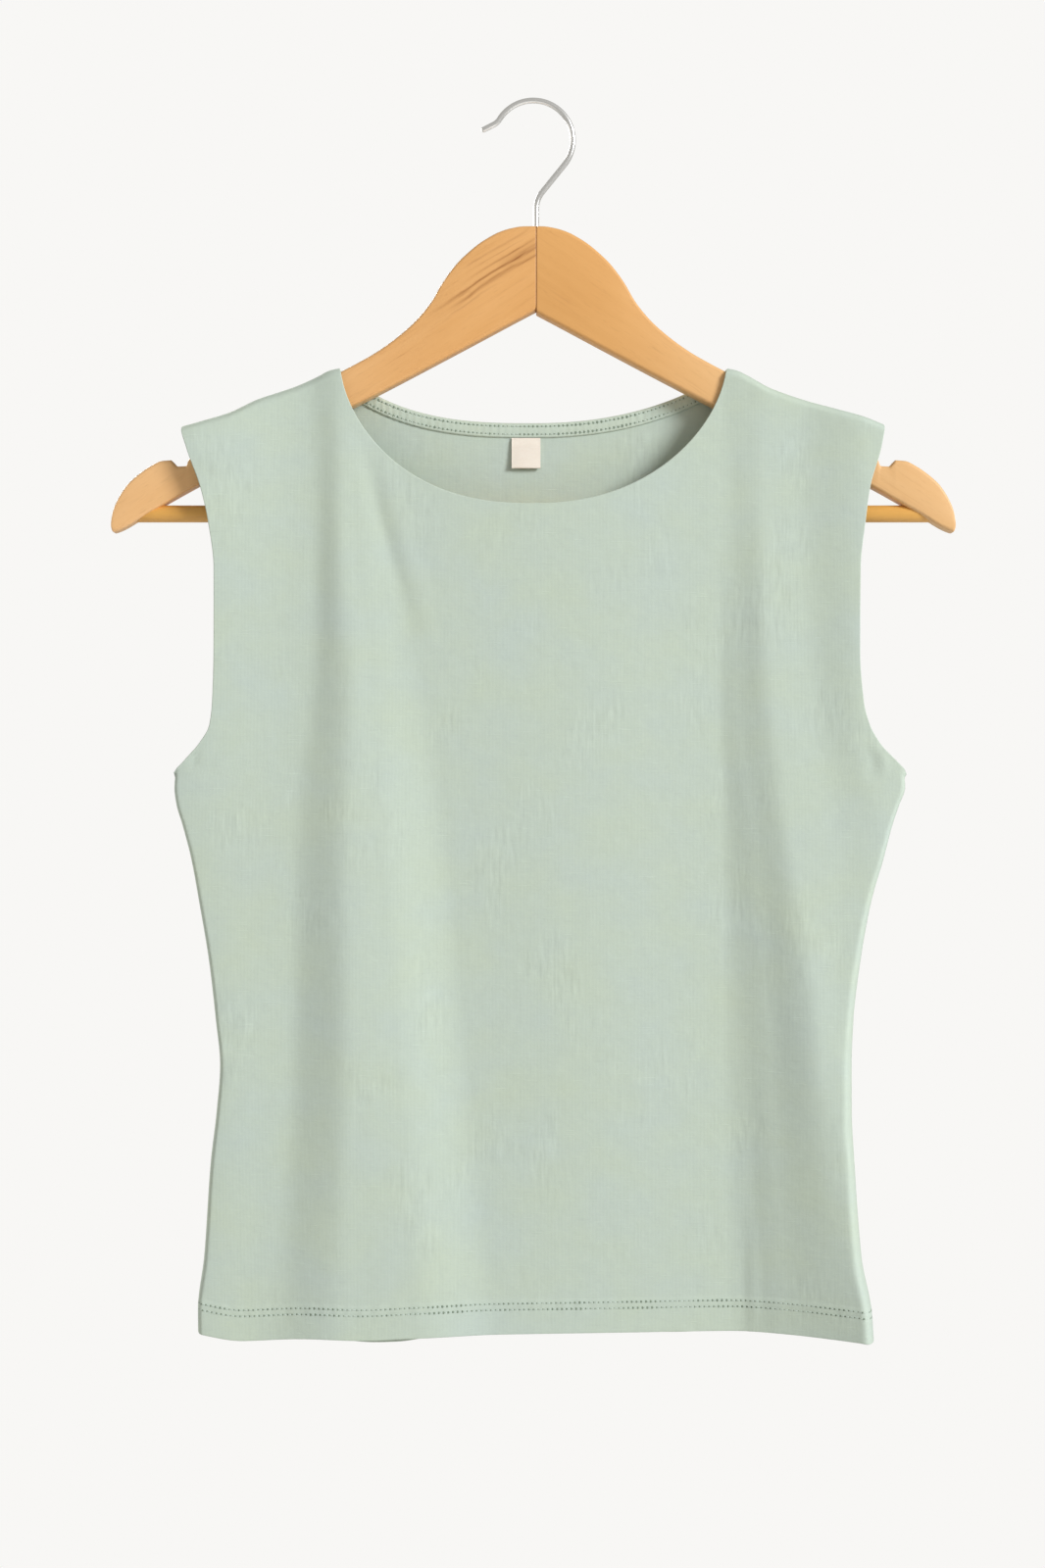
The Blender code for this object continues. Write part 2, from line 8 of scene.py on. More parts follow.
import bpy
import numpy as np
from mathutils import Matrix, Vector


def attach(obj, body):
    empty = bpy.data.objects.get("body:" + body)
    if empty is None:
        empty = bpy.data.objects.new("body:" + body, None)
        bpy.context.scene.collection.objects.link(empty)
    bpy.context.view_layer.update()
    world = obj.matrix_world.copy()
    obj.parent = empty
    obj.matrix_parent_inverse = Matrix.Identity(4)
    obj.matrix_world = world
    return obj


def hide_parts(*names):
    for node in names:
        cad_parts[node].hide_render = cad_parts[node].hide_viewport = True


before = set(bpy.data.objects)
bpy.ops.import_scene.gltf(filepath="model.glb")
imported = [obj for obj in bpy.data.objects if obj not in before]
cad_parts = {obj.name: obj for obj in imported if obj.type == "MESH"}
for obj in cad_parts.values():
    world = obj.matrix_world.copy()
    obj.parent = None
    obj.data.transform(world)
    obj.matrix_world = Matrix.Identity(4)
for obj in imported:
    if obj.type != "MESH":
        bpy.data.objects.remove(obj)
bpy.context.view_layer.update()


# Camera: level with the middle of the top and straight in front of it, at the distance of
# someone who stands a step and a half away.
MM = 0.001
CAMERA_PLACE = (-5.7, -1400.0, -360.2)
VIEW_HEIGHT = 829.8
SENSOR = 36.0


def new_object(name, data):
    """An object with this data, in the scene."""
    made = bpy.data.objects.new(name, data)
    bpy.context.scene.collection.objects.link(made)
    return made


lens_data = bpy.data.cameras.new("camera")
lens_data.sensor_width = SENSOR
lens_data.lens = SENSOR * -CAMERA_PLACE[1] / VIEW_HEIGHT
camera = new_object("camera", lens_data)
camera.location = Vector(CAMERA_PLACE) * MM
camera.rotation_euler = (math.radians(90), 0, 0)
bpy.context.scene.camera = camera


# Light and stage: a broad window light from the right, a faint one from the left, one for the
# back and an even pale room. The backdrop is a pale dome, and the floor lies well below the
# hem, isn't seen and only throws light back up.
ROOM_COLOR = (255, 253, 247)
ROOM_STRENGTH = 0.397
BACKDROP_COLOR = (248, 247, 245)
BACKDROP_RADIUS = 9.0
DOME_SIDES = 96
DOME_LEVELS = 49
FLOOR_DROP = 2.6
FLOOR_RADIUS = 5.0
LIGHTS = {
    "window_light": {"place": (2.95, -2.28, 1.16), "size": 1.5, "power": 151.0,
                     "color": (250, 252, 255)},
    "left_bounce": {"place": (-2.7, -0.35, 0.1), "size": 1.8, "power": 9.0,
                    "color": (255, 252, 248)},
    "rear_light": {"place": (-1.2, 2.2, 0.5), "size": 1.4, "power": 36.0,
                   "color": (255, 254, 252)},
}
LIGHT_TARGET = Vector((0.0, 0.0, -0.36))


def linear(color):
    """Display values from 0 to 255 as the linear colour that shaders take."""
    shown = np.array(color) / 255.0
    return (*np.where(shown <= 0.04045, shown / 12.92, ((shown + 0.055) / 1.055) ** 2.4), 1.0)


def new_material(name, constants):
    """A Principled material and its shader node, with constants set on its sockets."""
    material = bpy.data.materials.new(name)
    material.use_nodes = True
    shader = material.node_tree.nodes["Principled BSDF"]
    for socket, value in constants.items():
        shader.inputs[socket].default_value = value
    return material, shader


def set_stage(name, mesh, glow):
    """Put a pale stage surface in the scene: it only glows, or else it takes light."""
    color = linear(BACKDROP_COLOR)
    material, shader = new_material(name, {
        "Base Color": (0, 0, 0, 1) if glow else color, "Roughness": 0.9,
        "Specular IOR Level": 0.0 if glow else 0.2,
        "Emission Color": color, "Emission Strength": 1.0 if glow else 0.0})
    thing = new_object(name, mesh)
    mesh.materials.append(material)
    return thing


for name, light in LIGHTS.items():
    lamp = bpy.data.lights.new(name, "AREA")
    lamp.shape = "DISK"
    lamp.size = light["size"]
    lamp.energy = light["power"]
    lamp.color = linear(light["color"])[:3]
    thing = new_object(name, lamp)
    thing.location = light["place"]
    aim = LIGHT_TARGET - thing.location
    thing.rotation_euler = aim.to_track_quat("-Z", "Y").to_euler()

world = bpy.data.worlds.new("room")
world.use_nodes = True
world.node_tree.nodes["Background"].inputs["Color"].default_value = linear(ROOM_COLOR)
world.node_tree.nodes["Background"].inputs["Strength"].default_value = ROOM_STRENGTH
bpy.context.scene.world = world
bpy.context.scene.view_settings.view_transform = "Standard"


def full_turn(count):
    """Angles at even steps round a circle."""
    return np.linspace(0, 2 * math.pi, count, endpoint=False)


def tube_faces(rings, sides, turned=False):
    """Quads between rings of points and a flat cap at each end; turned flips them all."""
    index = np.arange(rings * sides).reshape(rings, sides)
    after = np.roll(index, -1, axis=1)
    quads = np.stack([index[:-1], after[:-1], after[1:], index[1:]], axis=2).reshape(-1, 4)
    faces = quads.tolist() + [index[0, ::-1].tolist(), index[-1].tolist()]
    return [face[::-1] for face in faces] if turned else faces


turn = full_turn(DOME_SIDES)
floor_rim = np.stack([FLOOR_RADIUS * np.cos(turn), FLOOR_RADIUS * np.sin(turn),
                      np.full(len(turn), -FLOOR_DROP)], axis=1)
floor_mesh = bpy.data.meshes.new("floor")
floor_mesh.from_pydata(floor_rim.tolist(), [], [list(range(len(turn)))])
floor = set_stage("floor", floor_mesh, glow=False)
floor.visible_camera = False

around, up = np.meshgrid(turn, np.linspace(-math.pi / 2, math.pi / 2, DOME_LEVELS)[1:-1])
dome_points = BACKDROP_RADIUS * np.stack([np.cos(up) * np.cos(around),
                                          np.cos(up) * np.sin(around), np.sin(up)], axis=2)
dome_mesh = bpy.data.meshes.new("backdrop")
dome_mesh.from_pydata(dome_points.reshape(-1, 3).tolist(), [],
                      tube_faces(*up.shape, turned=True))
backdrop = set_stage("backdrop", dome_mesh, glow=True)
backdrop.visible_diffuse = False
backdrop.visible_glossy = False
backdrop.visible_shadow = False


# Hanger arms: two flat boards of pale lacquered hardwood, shaped to a hump at the hook and a
# pointed tip, with softened edges and a strap notch. They are glued end to end at the hook.
ARM_THICK = 12.0
ARM_EDGE_ROUND = 2.2
MOST_ROUNDED = 0.45
CORNER_POINTS = 7
TIP_LENGTH = 4.5
SEAM_X = 1.56
SEAM_EDGE = 0.3


def table(names, *rows):
    """Rows of numbers as a dictionary of named columns."""
    return dict(zip(names, np.array(rows, float).T))


ARM_TOP = table(
    ("reach", "drop"),
    (-4, 65.8), (5.2, 65.9), (12, 67), (18.2, 69), (23.9, 72), (29, 75.3),
    (32.7, 78.3), (36.3, 81.5), (39.4, 84.5), (42, 87.5), (45, 91.4), (48.7, 96.9),
    (53, 104.5), (58, 111.3), (63, 116.8), (69, 122.2), (76, 127.7), (84, 133.1),
    (92.8, 138.1), (102.4, 143.2), (181.5, 188.9),
)
NOTCH = table(
    ("reach", "drop"),
    (181.5, 188.9), (182, 189.6), (182.7, 191.7), (183.4, 192.4), (187.4, 192.6),
    (188.2, 192.2), (190.2, 190), (191, 189.3),
)
TIP_TOP = table(
    ("reach", "drop"),
    (191, 189.3), (196, 189.7), (202.3, 192.7), (206.9, 195.8), (211.1, 199.2),
    (214.2, 202.3), (217, 206.2), (219.3, 210.2), (221, 214), (222.1, 218),
    (222.5, 221),
)
ARM_BOTTOM = table(
    ("reach", "drop"),
    (-4, 108.9), (0, 110.9), (7.8, 115), (35.8, 130), (77.8, 152.2), (177.1, 202.8),
    (202.8, 217.2), (220.4, 227.1), (221.4, 227.3), (222.1, 226.6), (222.5, 225.4),
)

# The reaches at which an arm has its rings: from the joint outwards, and then close together
# at the notch and at the tip.
JOINT_RINGS = np.array([0.0, 0.12, SEAM_EDGE, 1.0])
INNER_START, INNER_END, INNER_RINGS = 2.5, 180.0, 90
NOTCH_RINGS = np.linspace(181.0, 192.0, 45)
OUTER_RINGS = np.linspace(193.0, 218.0, 40)
TIP_RINGS = TIP_TOP["reach"][-1] - TIP_LENGTH * np.linspace(1.0, 0.0, 16) ** 2


def knot_slopes(rise):
    """Slope at each inner knot: the harmonic mean of the straight slopes on either side, and
    level at a crest or a valley."""
    same_way = rise[:-1] * rise[1:] > 0
    total = np.where(same_way, rise[:-1] + rise[1:], 1.0)
    return np.where(same_way, 2 * rise[:-1] * rise[1:] / total, 0.0)


def curve_through(knots, values, at):
    """Smooth curve through a table's rows that never swings past them: each piece is a cubic
    between the slopes at its two knots."""
    step = np.diff(knots)
    rise = np.diff(values) / step
    slope = np.concatenate([rise[:1], knot_slopes(rise), rise[-1:]])
    at = np.clip(at, knots[0], knots[-1])
    i = np.clip(np.searchsorted(knots, at, side="right") - 1, 0, len(step) - 1)
    t = (at - knots[i]) / step[i]
    start = values[i] * (1 + 2 * t) * (1 - t) ** 2 + slope[i] * step[i] * t * (1 - t) ** 2
    end = values[i + 1] * t * t * (3 - 2 * t) - slope[i + 1] * step[i] * t * t * (1 - t)
    return start + end


def add_piece(name, points, faces, uv=None, crease=math.radians(50)):
    """Smooth-shaded mesh from points in millimetres, with a UV map where one is given."""
    mesh = bpy.data.meshes.new(name)
    mesh.from_pydata((points.reshape(-1, 3) * MM).tolist(), [], faces)
    mesh.shade_smooth()
    mesh.set_sharp_from_angle(angle=crease)
    if uv is not None:
        corners = np.empty(len(mesh.loops), int)
        mesh.loops.foreach_get("vertex_index", corners)
        layer = mesh.uv_layers.new(name="cloth")
        layer.data.foreach_set("uv", (uv.reshape(-1, 2)[corners] * MM).ravel())
    return new_object(name, mesh)


def put(piece, slot, material, *nodes):
    """Ride a finished piece on the part, in place of its solids, with its material; its slot is not
    used.
    """
    piece.data.materials.append(material)
    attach(piece, "root")
    if nodes:
        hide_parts(*nodes)


def arm_points(side):
    """Rings of a rounded rectangle along an arm.

    At each reach the ring's top and bottom are the arm's outline, and its four corners are
    quarter circles of the edge radius, less where the arm is thin. The joint end has a fine
    arris.
    """
    inner = side * SEAM_X
    reach = np.unique(np.concatenate([
        inner + JOINT_RINGS, np.linspace(inner + INNER_START, INNER_END, INNER_RINGS),
        NOTCH_RINGS, OUTER_RINGS, TIP_RINGS]))
    top = np.select([reach <= NOTCH["reach"][0], reach <= NOTCH["reach"][-1]],
                    [curve_through(ARM_TOP["reach"], ARM_TOP["drop"], reach),
                     curve_through(NOTCH["reach"], NOTCH["drop"], reach)],
                    curve_through(TIP_TOP["reach"], TIP_TOP["drop"], reach))
    bottom = curve_through(ARM_BOTTOM["reach"], ARM_BOTTOM["drop"], reach)
    rounding = np.minimum(ARM_EDGE_ROUND, (bottom - top) * MOST_ROUNDED)
    into_joint = np.clip((inner + SEAM_EDGE - reach) / SEAM_EDGE, 0.0, 1.0)
    arris = SEAM_EDGE * (1.0 - np.sqrt(1.0 - into_joint ** 2))
    quarter = np.linspace(0, math.pi / 2, CORNER_POINTS)
    angle = np.concatenate([quarter + k * math.pi / 2 for k in range(4)])
    right = np.repeat([1.0, -1.0, -1.0, 1.0], len(quarter))
    above = np.repeat([True, True, False, False], len(quarter))
    y = right * (ARM_THICK / 2 - rounding[:, None]) + rounding[:, None] * np.cos(angle)
    corner = np.where(above, (top + rounding)[:, None], (bottom - rounding)[:, None])
    z = -corner + rounding[:, None] * np.sin(angle)
    centre = -(top + bottom)[:, None] / 2
    y = y * (1 - arris / (ARM_THICK / 2))[:, None]
    z = centre + (z - centre) * (1 - 2 * arris / (bottom - top))[:, None]
    x = np.broadcast_to(side * reach[:, None], y.shape)
    return np.stack([x, y, z], axis=2)


class Signal:
    """One output socket of a node tree. Arithmetic on signals adds Math nodes."""

    def __init__(self, tree, socket):
        self.tree = tree
        self.socket = socket

    def node(self, kind, settings, inputs, output=0):
        """Add a node: its settings come first, then values or links for its sockets."""
        made = self.tree.nodes.new(kind)
        for key, value in settings.items():
            setattr(made, key, value)
        for key, value in inputs.items():
            if isinstance(value, Signal):
                self.tree.links.new(value.socket, made.inputs[key])
            else:
                made.inputs[key].default_value = value
        return Signal(self.tree, made.outputs[output])

    def maths(self, operation, *others):
        """The result of a Math node whose first value is this signal."""
        return self.node("ShaderNodeMath", {"operation": operation},
                         dict(enumerate((self, *others))))

    def __add__(self, other):
        return self.maths("ADD", other)

    def __sub__(self, other):
        return self.maths("SUBTRACT", other)

    def __rsub__(self, other):
        return self * -1.0 + other

    def __mul__(self, other):
        return self.maths("MULTIPLY", other)

    def __truediv__(self, other):
        return self.maths("DIVIDE", other)

    __radd__ = __add__
    __rmul__ = __mul__

    def above(self, floor):
        """How far this stands above a floor, and 0 below it."""
        return (self - floor).maths("MAXIMUM", 0.0)

    def between(self, low, high):
        """Smooth rise from 0 at low to 1 at high."""
        return self.node("ShaderNodeMapRange", {"interpolation_type": "SMOOTHSTEP"},
                         {"Value": self, "From Min": low, "From Max": high})

    def bell(self):
        """1 where this is 0, dying away on both sides as the exponential of minus its square."""
        return (self * self * -1.0).maths("EXPONENT")

    def turned(self, angle):
        """A place turned about the front-to-back line, by an angle in radians."""
        return self.node("ShaderNodeMapping", {"vector_type": "POINT"},
                         {"Vector": self, "Rotation": (0.0, angle, 0.0)})

    def noise(self, x, y, z, detail=2.0, roughness=0.5):
        """Even noise about zero, with x, y and z waves to a metre of this place."""
        waves = self.node("ShaderNodeVectorMath", {"operation": "MULTIPLY"},
                          {0: self, 1: (x, y, z)})
        return self.node("ShaderNodeTexNoise", {"noise_dimensions": "3D"},
                         {"Vector": waves, "Scale": 1.0, "Detail": detail,
                          "Roughness": roughness}) - 0.5

    def part(self, axis):
        """One of a place's three numbers, by its index."""
        return self.node("ShaderNodeSeparateXYZ", {}, {"Vector": self}, axis)

    def tint(self, low, high):
        """Colour between two colours, as this signal goes from 0 to 1: each is a display
        colour or another colour signal."""
        low, high = (end if isinstance(end, Signal) else linear(end) for end in (low, high))
        return self.node("ShaderNodeMix", {"data_type": "RGBA"}, {0: self, 6: low, 7: high}, 2)

    def shaded(self, amount):
        """This colour multiplied by an amount near 1."""
        return self.node("ShaderNodeVectorMath", {"operation": "SCALE"},
                         {0: self, "Scale": amount})

    def bump(self, depth):
        """Normal of a surface raised by this signal times a depth in metres."""
        return self.node("ShaderNodeBump", {}, {"Strength": 1.0, "Distance": depth,
                                                "Height": self})


def open_material(name, coordinates, constants):
    """A Principled material, its shader node and the signal of its coordinates."""
    material, shader = new_material(name, constants)
    source = material.node_tree.nodes.new("ShaderNodeTexCoord")
    return material, shader, Signal(material.node_tree, source.outputs[coordinates])


def feed(shader, **signals):
    """Link signals to a shader's sockets; an underscore in a name stands for a space."""
    for name, signal in signals.items():
        signal.tree.links.new(signal.socket, shader.inputs[name.replace("_", " ")])


STREAKS = ("middle", "across", "half_length", "width", "depth")
GLUE_LINE = 0.28
DARK_GRAIN = (158, 98, 46)
NEAR_HOOK = 25.0
FAR_FROM_HOOK = 135.0


def wood_material(name, slope, pale, deep, far_pale, far_deep, streaks=None):
    """Lacquered hardwood whose grain runs down to the right by a slope.

    Its colour drifts between a pale and a deep tone, and both are lighter far from the hook.
    There is darker grain where noise drawn out along the grain is high, with fine pores, and a
    thin dark line of glue at the joint. Streaks are dark lines at places of their own: each is
    a bell across the grain that fades to both of its ends, broken up by the noise.
    """
    material, shader, place = open_material(name, "Object", {
        "Coat Weight": 0.2, "Coat Roughness": 0.25, "Specular IOR Level": 0.4})
    grain_place = place.turned(slope)
    drift = grain_place.noise(9.0, 24.0, 26.0, 3.0)
    grain = grain_place.noise(14.0, 160.0, 260.0, 4.0, 0.6)
    vessels = grain_place.noise(45.0, 420.0, 700.0)
    pores = grain_place.noise(170.0, 900.0, 1500.0, 1.0)
    wander = grain_place.noise(34.0, 70.0, 70.0, 3.0)
    level = place.part(0) / MM
    joint = (level - SEAM_X) / GLUE_LINE
    dark = (vessels.above(0.1) * 0.5 + pores.above(0.12) * 0.5
            + joint.bell() * 0.75)
    if streaks:
        along = grain_place.part(0) / MM
        across = grain_place.part(2) / MM + wander * 4.5
        for middle, line, half_length, width, depth in zip(*streaks.values()):
            from_line = (across - line) / width
            from_middle = (along - middle) / half_length
            fade = (1.0 - from_middle * from_middle).maths("MAXIMUM", 0.0)
            broken = (vessels * 2.4 + 1.0).maths("MAXIMUM", 0.0)
            dark = dark + from_line.bell() * fade * broken * depth
    tone = drift * 1.3 + grain * 0.7 + 0.5
    far = level.maths("ABSOLUTE").between(NEAR_HOOK, FAR_FROM_HOOK)
    feed(shader,
         Base_Color=(dark * 1.5).tint(
             far.tint(tone.tint(deep, pale), tone.tint(far_deep, far_pale)), DARK_GRAIN),
         Roughness=0.4 + grain * 0.1,
         Normal=(grain * 0.6 + pores * 0.1 - dark * 0.8).bump(0.00007))
    return material


LEFT_GRAIN = math.radians(32.8)
RIGHT_GRAIN = math.radians(-34)
LEFT_STREAKS = table(
    STREAKS,
    (-71, -65.3, 38, 0.8, 0.34),
    (-66, -68.7, 34, 0.9, 0.34),
    (-57, -61.3, 28, 0.6, 0.24),
    (-48, -64, 16, 2.4, 0.16),
    (-57, -54.8, 24, 0.7, 0.18),
    (-62, -57.8, 20, 0.4, 0.16),
    (-84, -71.6, 20, 0.5, 0.14),
)
left_wood = wood_material("pale_wood_left", LEFT_GRAIN, (238, 182, 118), (222, 161, 92),
                          (248, 199, 142), (236, 182, 121), LEFT_STREAKS)
right_wood = wood_material("pale_wood_right", RIGHT_GRAIN, (235, 178, 110), (220, 161, 93),
                           (240, 195, 140), (231, 181, 122))
for name, side, wood, node in (("left_arm", -1, left_wood, "hanger_left_arm"),
                               ("right_arm", 1, right_wood, "hanger_right_arm")):
    rings = arm_points(side)
    faces = tube_faces(*rings.shape[:2], turned=side > 0)
    put(add_piece(name, rings, faces, crease=math.radians(40)), "arm_wood", wood, node)


# Hanger bar: a round dowel of the same pale lacquered hardwood, turned to an even thickness
# and let into a socket in the underside of each arm.
BAR_RADIUS = 4.5
BAR_DROP = 217.3
BAR_HALF_LENGTH = 216.0
BAR_CHAMFER = 0.8
BAR_SIDES = 40
BAR_RINGS = np.linspace(-200, 200, 40)


def bar_points():
    """Rings of a circle along X, drawn in at each end by a small chamfer."""
    ends = np.array([0.0, BAR_CHAMFER])
    x = np.concatenate([-BAR_HALF_LENGTH + ends, BAR_RINGS, BAR_HALF_LENGTH - ends[::-1]])
    radius = np.full(len(x), BAR_RADIUS)
    radius[[0, -1]] -= BAR_CHAMFER
    angle = full_turn(BAR_SIDES)
    ring = np.stack([np.zeros(len(angle)), np.cos(angle), np.sin(angle)], axis=1)
    centre = np.stack([x, np.zeros(len(x)), np.full(len(x), -BAR_DROP)], axis=1)
    return centre[:, None] + radius[:, None, None] * ring


bar_wood = wood_material("bar_wood", 0.0, (236, 180, 98), (218, 156, 68),
                         (236, 181, 98), (219, 158, 70))
rings = bar_points()
put(add_piece("dowel_bar", rings, tube_faces(*rings.shape[:2])), "bar_wood", bar_wood, "hanger_bar")


# Hanger hook: bright plated steel wire, set in a hole between the arms, bent to a slanting
# neck, an arc that lies on the rail and a short flared tip with a rounded end.
WIRE_RADIUS = 1.5
HOOK_RADIUS = 21.0
STEM_HOLE_DEPTH = 12.0
NECK_ANGLE = math.radians(-39.0)
NECK_BEND_RADIUS = 14.0
ARC_END_ANGLE = math.radians(148.0)
FLARE_RADIUS = 8.0
FLARE_TURN = math.radians(31.0)
TIP_STRAIGHT = 7.3
TIP_DOME = np.radians([25, 45, 65, 80, 89])
WIRE_SIDES = 28
ARC_STEP = math.radians(3)


def arc_points(middle, radius, start, end):
    """Points along an arc in the XZ plane, both ends included."""
    count = max(2, int(math.ceil(abs(end - start) / ARC_STEP)) + 1)
    angle = np.linspace(start, end, count)
    return np.stack([middle[0] + radius * np.cos(angle),
                     middle[1] + radius * np.sin(angle)], axis=1)


def toward(angle):
    """A step of 1 in the XZ plane, at an angle from the right."""
    return np.array([math.cos(angle), math.sin(angle)])


def hook_route():
    """Middle line of the hook's wire as (x, z), from its foot in the wood to its tip."""
    arc_middle = np.array([0.0, WIRE_RADIUS - HOOK_RADIUS])
    neck_top = arc_middle + HOOK_RADIUS * toward(NECK_ANGLE)
    slope = np.array([-math.sin(NECK_ANGLE), math.cos(NECK_ANGLE)])
    bend_turn = math.pi / 2 - math.atan2(slope[1], slope[0])
    corner = neck_top - slope * (neck_top[0] - SEAM_X) / slope[0]
    tangent = NECK_BEND_RADIUS * math.tan(bend_turn / 2)
    bend_middle = np.array([SEAM_X + NECK_BEND_RADIUS, corner[1] - tangent])
    foot = np.array([[SEAM_X, -ARM_TOP["drop"][0] - STEM_HOLE_DEPTH]])
    bend = arc_points(bend_middle, NECK_BEND_RADIUS, math.pi, math.pi - bend_turn)
    arc = arc_points(arc_middle, HOOK_RADIUS, NECK_ANGLE, ARC_END_ANGLE)
    flare_middle = arc[-1] + FLARE_RADIUS * toward(ARC_END_ANGLE)
    flare_start = ARC_END_ANGLE + math.pi
    flare = arc_points(flare_middle, FLARE_RADIUS, flare_start, flare_start - FLARE_TURN)
    along = toward(ARC_END_ANGLE + math.pi / 2 - FLARE_TURN)
    tip = flare[-1] + np.array([[0.5], [0.85], [1.0]]) * (TIP_STRAIGHT - WIRE_RADIUS) * along
    dome = tip[-1] + WIRE_RADIUS * np.sin(TIP_DOME)[:, None] * along
    return np.concatenate([foot, bend, arc, flare[1:], tip, dome])


def unit(vectors):
    """The vectors of an array, each made 1 long."""
    return vectors / np.linalg.norm(vectors, axis=-1, keepdims=True)


def wire_points(route, radius):
    """Rings round a route in the XZ plane, each square to the route at its point."""
    heading = unit(np.gradient(route, axis=0))
    angle = full_turn(WIRE_SIDES)
    side = np.stack([-heading[:, 1], np.zeros(len(route)), heading[:, 0]], axis=1)
    level = np.array([0.0, 1.0, 0.0])
    centre = np.stack([route[:, 0], np.zeros(len(route)), route[:, 1]], axis=1)
    ring = np.cos(angle)[None, :, None] * side[:, None] - np.sin(angle)[None, :, None] * level
    return centre[:, None] + radius[:, None, None] * ring


route = hook_route()
wire_radius = np.full(len(route), WIRE_RADIUS)
wire_radius[-len(TIP_DOME):] = WIRE_RADIUS * np.cos(TIP_DOME)
rings = wire_points(route, wire_radius)
hook = add_piece("wire_hook", rings, tube_faces(*rings.shape[:2]))
wire, shader, place = open_material("plated_wire", "Object", {
    "Metallic": 0.85, "Base Color": linear((243, 242, 240))})
drawn = place.noise(900.0, 900.0, 60.0)
feed(shader, Roughness=0.24 + drawn * 0.12, Normal=drawn.bump(0.00002))
put(hook, "hook_wire", wire, "hanger_hook")


# Front and back: two pieces of fine sage green jersey, sewn together at the shoulders and
# sides. The necklines and armholes are turned in and the hem is doubled, and both fall in
# soft uneven folds from the shoulders.
WALL = 1.2
SEAM_PART = 0.04
UNDERARM_DROP = 357.0
SHOULDER_ROUND = 5.0
NECK_POINT_DROP = 140.5
NECK_HALF_WIDTH = 101.6
NECK_FLICK = 0.9
FRONT_NECK = {"depth": 72.3, "left": 2.4, "right": 2.2, "power": 0.6, "columns": 100}
BACK_NECK = {"depth": 27.9, "left": 2.8, "right": 2.2, "power": 0.875, "columns": 100}
SHOULDERS = table(
    ("reach", "left", "right"),
    (102.5, 140.5, 140.5), (107, 141.4, 141.4), (113.6, 144.7, 144.6),
    (123.9, 149.4, 150.4), (132.8, 152.6, 153.9), (145.2, 156.8, 158),
    (160, 163.9, 162.1), (173.7, 168.2, 166), (184.4, 171.3, 170.3),
)
SIDES = table(
    ("drop", "left", "right"),
    (170.3, 184.4, 184.4), (171.3, 184.4, 184.2), (185, 181, 181.6), (203.6, 174.3, 176.2),
    (222, 170.1, 173.6), (247, 167.2, 171), (290, 167.4, 170.7), (317, 168.2, 172.6),
    (329.3, 169.7, 175.8), (339.6, 175.5, 181.6), (348.3, 183.1, 189.8), (355, 188.6, 195.3),
    (362, 189.4, 196), (371, 188.3, 193), (381, 185.3, 189.6), (400, 180.4, 184.6),
    (422.5, 176.3, 178.2), (453.6, 171.1, 172.6), (484.7, 167.5, 168.9), (508, 165.3, 168),
    (531.4, 167, 168), (560, 170.3, 169.4), (609, 173.7, 173), (637, 177, 178.2),
    (652, 176.8, 179.2),
)
FRONT_HEM = table(
    ("x", "drop"),
    (-176.8, 648), (-152, 652), (-115, 650.6), (-88, 651.3), (-60, 650.3),
    (60, 648.5), (110, 647.9), (167, 650), (179.2, 651.3),
)
BACK_HEM = table(
    ("x", "drop"),
    (-176.8, 648), (-125, 653.8), (-105, 656.8), (-88, 658), (-72, 657.2),
    (-48, 653.6), (0, 652.4), (60, 651.4), (179.2, 651.3),
)
SIDE_ROUNDS = table(
    ("drop", "left", "right"),
    (357, 2.6, 3.2), (500, 2.8, 6), (650, 3.2, 8),
)
FOLD_LEVELS = np.array([215, 310, 390, 500, 650])
FOLD_COLUMNS = ("x_yoke", "out_yoke", "x_chest", "out_chest", "x_bust", "out_bust",
                "x_waist", "out_waist", "x_hem", "out_hem")
FRONT_FOLDS = table(
    FOLD_COLUMNS,
    (-188, 16.5, -186, 13.2, -182, 13, -164, 13.6, -173, 14),
    (-118, 8.8, -120, 8.3, -127, 10.2, -129, 11.4, -140, 12.4),
    (-102, 10.8, -96, 12.6, -97, 15.4, -95, 17.3, -104, 16.3),
    (-93, 10.3, -84, 11.2, -80, 13.9, -72, 15.2, -60, 14.9),
    (-80, 9, -56, 7.7, -44, 7.2, -34, 7.4, -18, 8.4),
    (10, 9.4, 20, 7.9, 15, 8, 22, 8.2, 18, 7.9),
    (98, 8.6, 97, 6.5, 99, 6.6, 100, 6.6, 103, 6.6),
    (110, 9.7, 107, 8.3, 116, 10.6, 124, 11.9, 132, 13.5),
    (123, 10.7, 126, 12.4, 135, 15.2, 150.5, 19.9, 157, 22.4),
    (138, 10.9, 145, 12.2, 157, 15.2, 160, 19.7, 168, 27),
    (176, 15.5, 172, 15.7, 184, 16.8, 166, 19.3, 178.5, 31),
)
BACK_FOLDS = table(
    FOLD_COLUMNS,
    (-165, 9.2, -165, 9.8, -165, 10.2, -160, 10.6, -168, 11),
    (-120, 9.4, -118, 11.2, -115, 12.6, -112, 14, -115, 16.5),
    (-70, 9.2, -66, 9, -63, 9, -60, 9, -56, 10),
    (-5, 9.4, 0, 10, 4, 11, 8, 12, 10, 14),
    (55, 9.2, 58, 9, 62, 8.8, 66, 8.5, 72, 8),
    (115, 9.4, 118, 11, 121, 12.4, 124, 14, 128, 17.5),
    (165, 9.2, 168, 10, 168, 10.4, 163, 10.8, 172, 11.5),
)

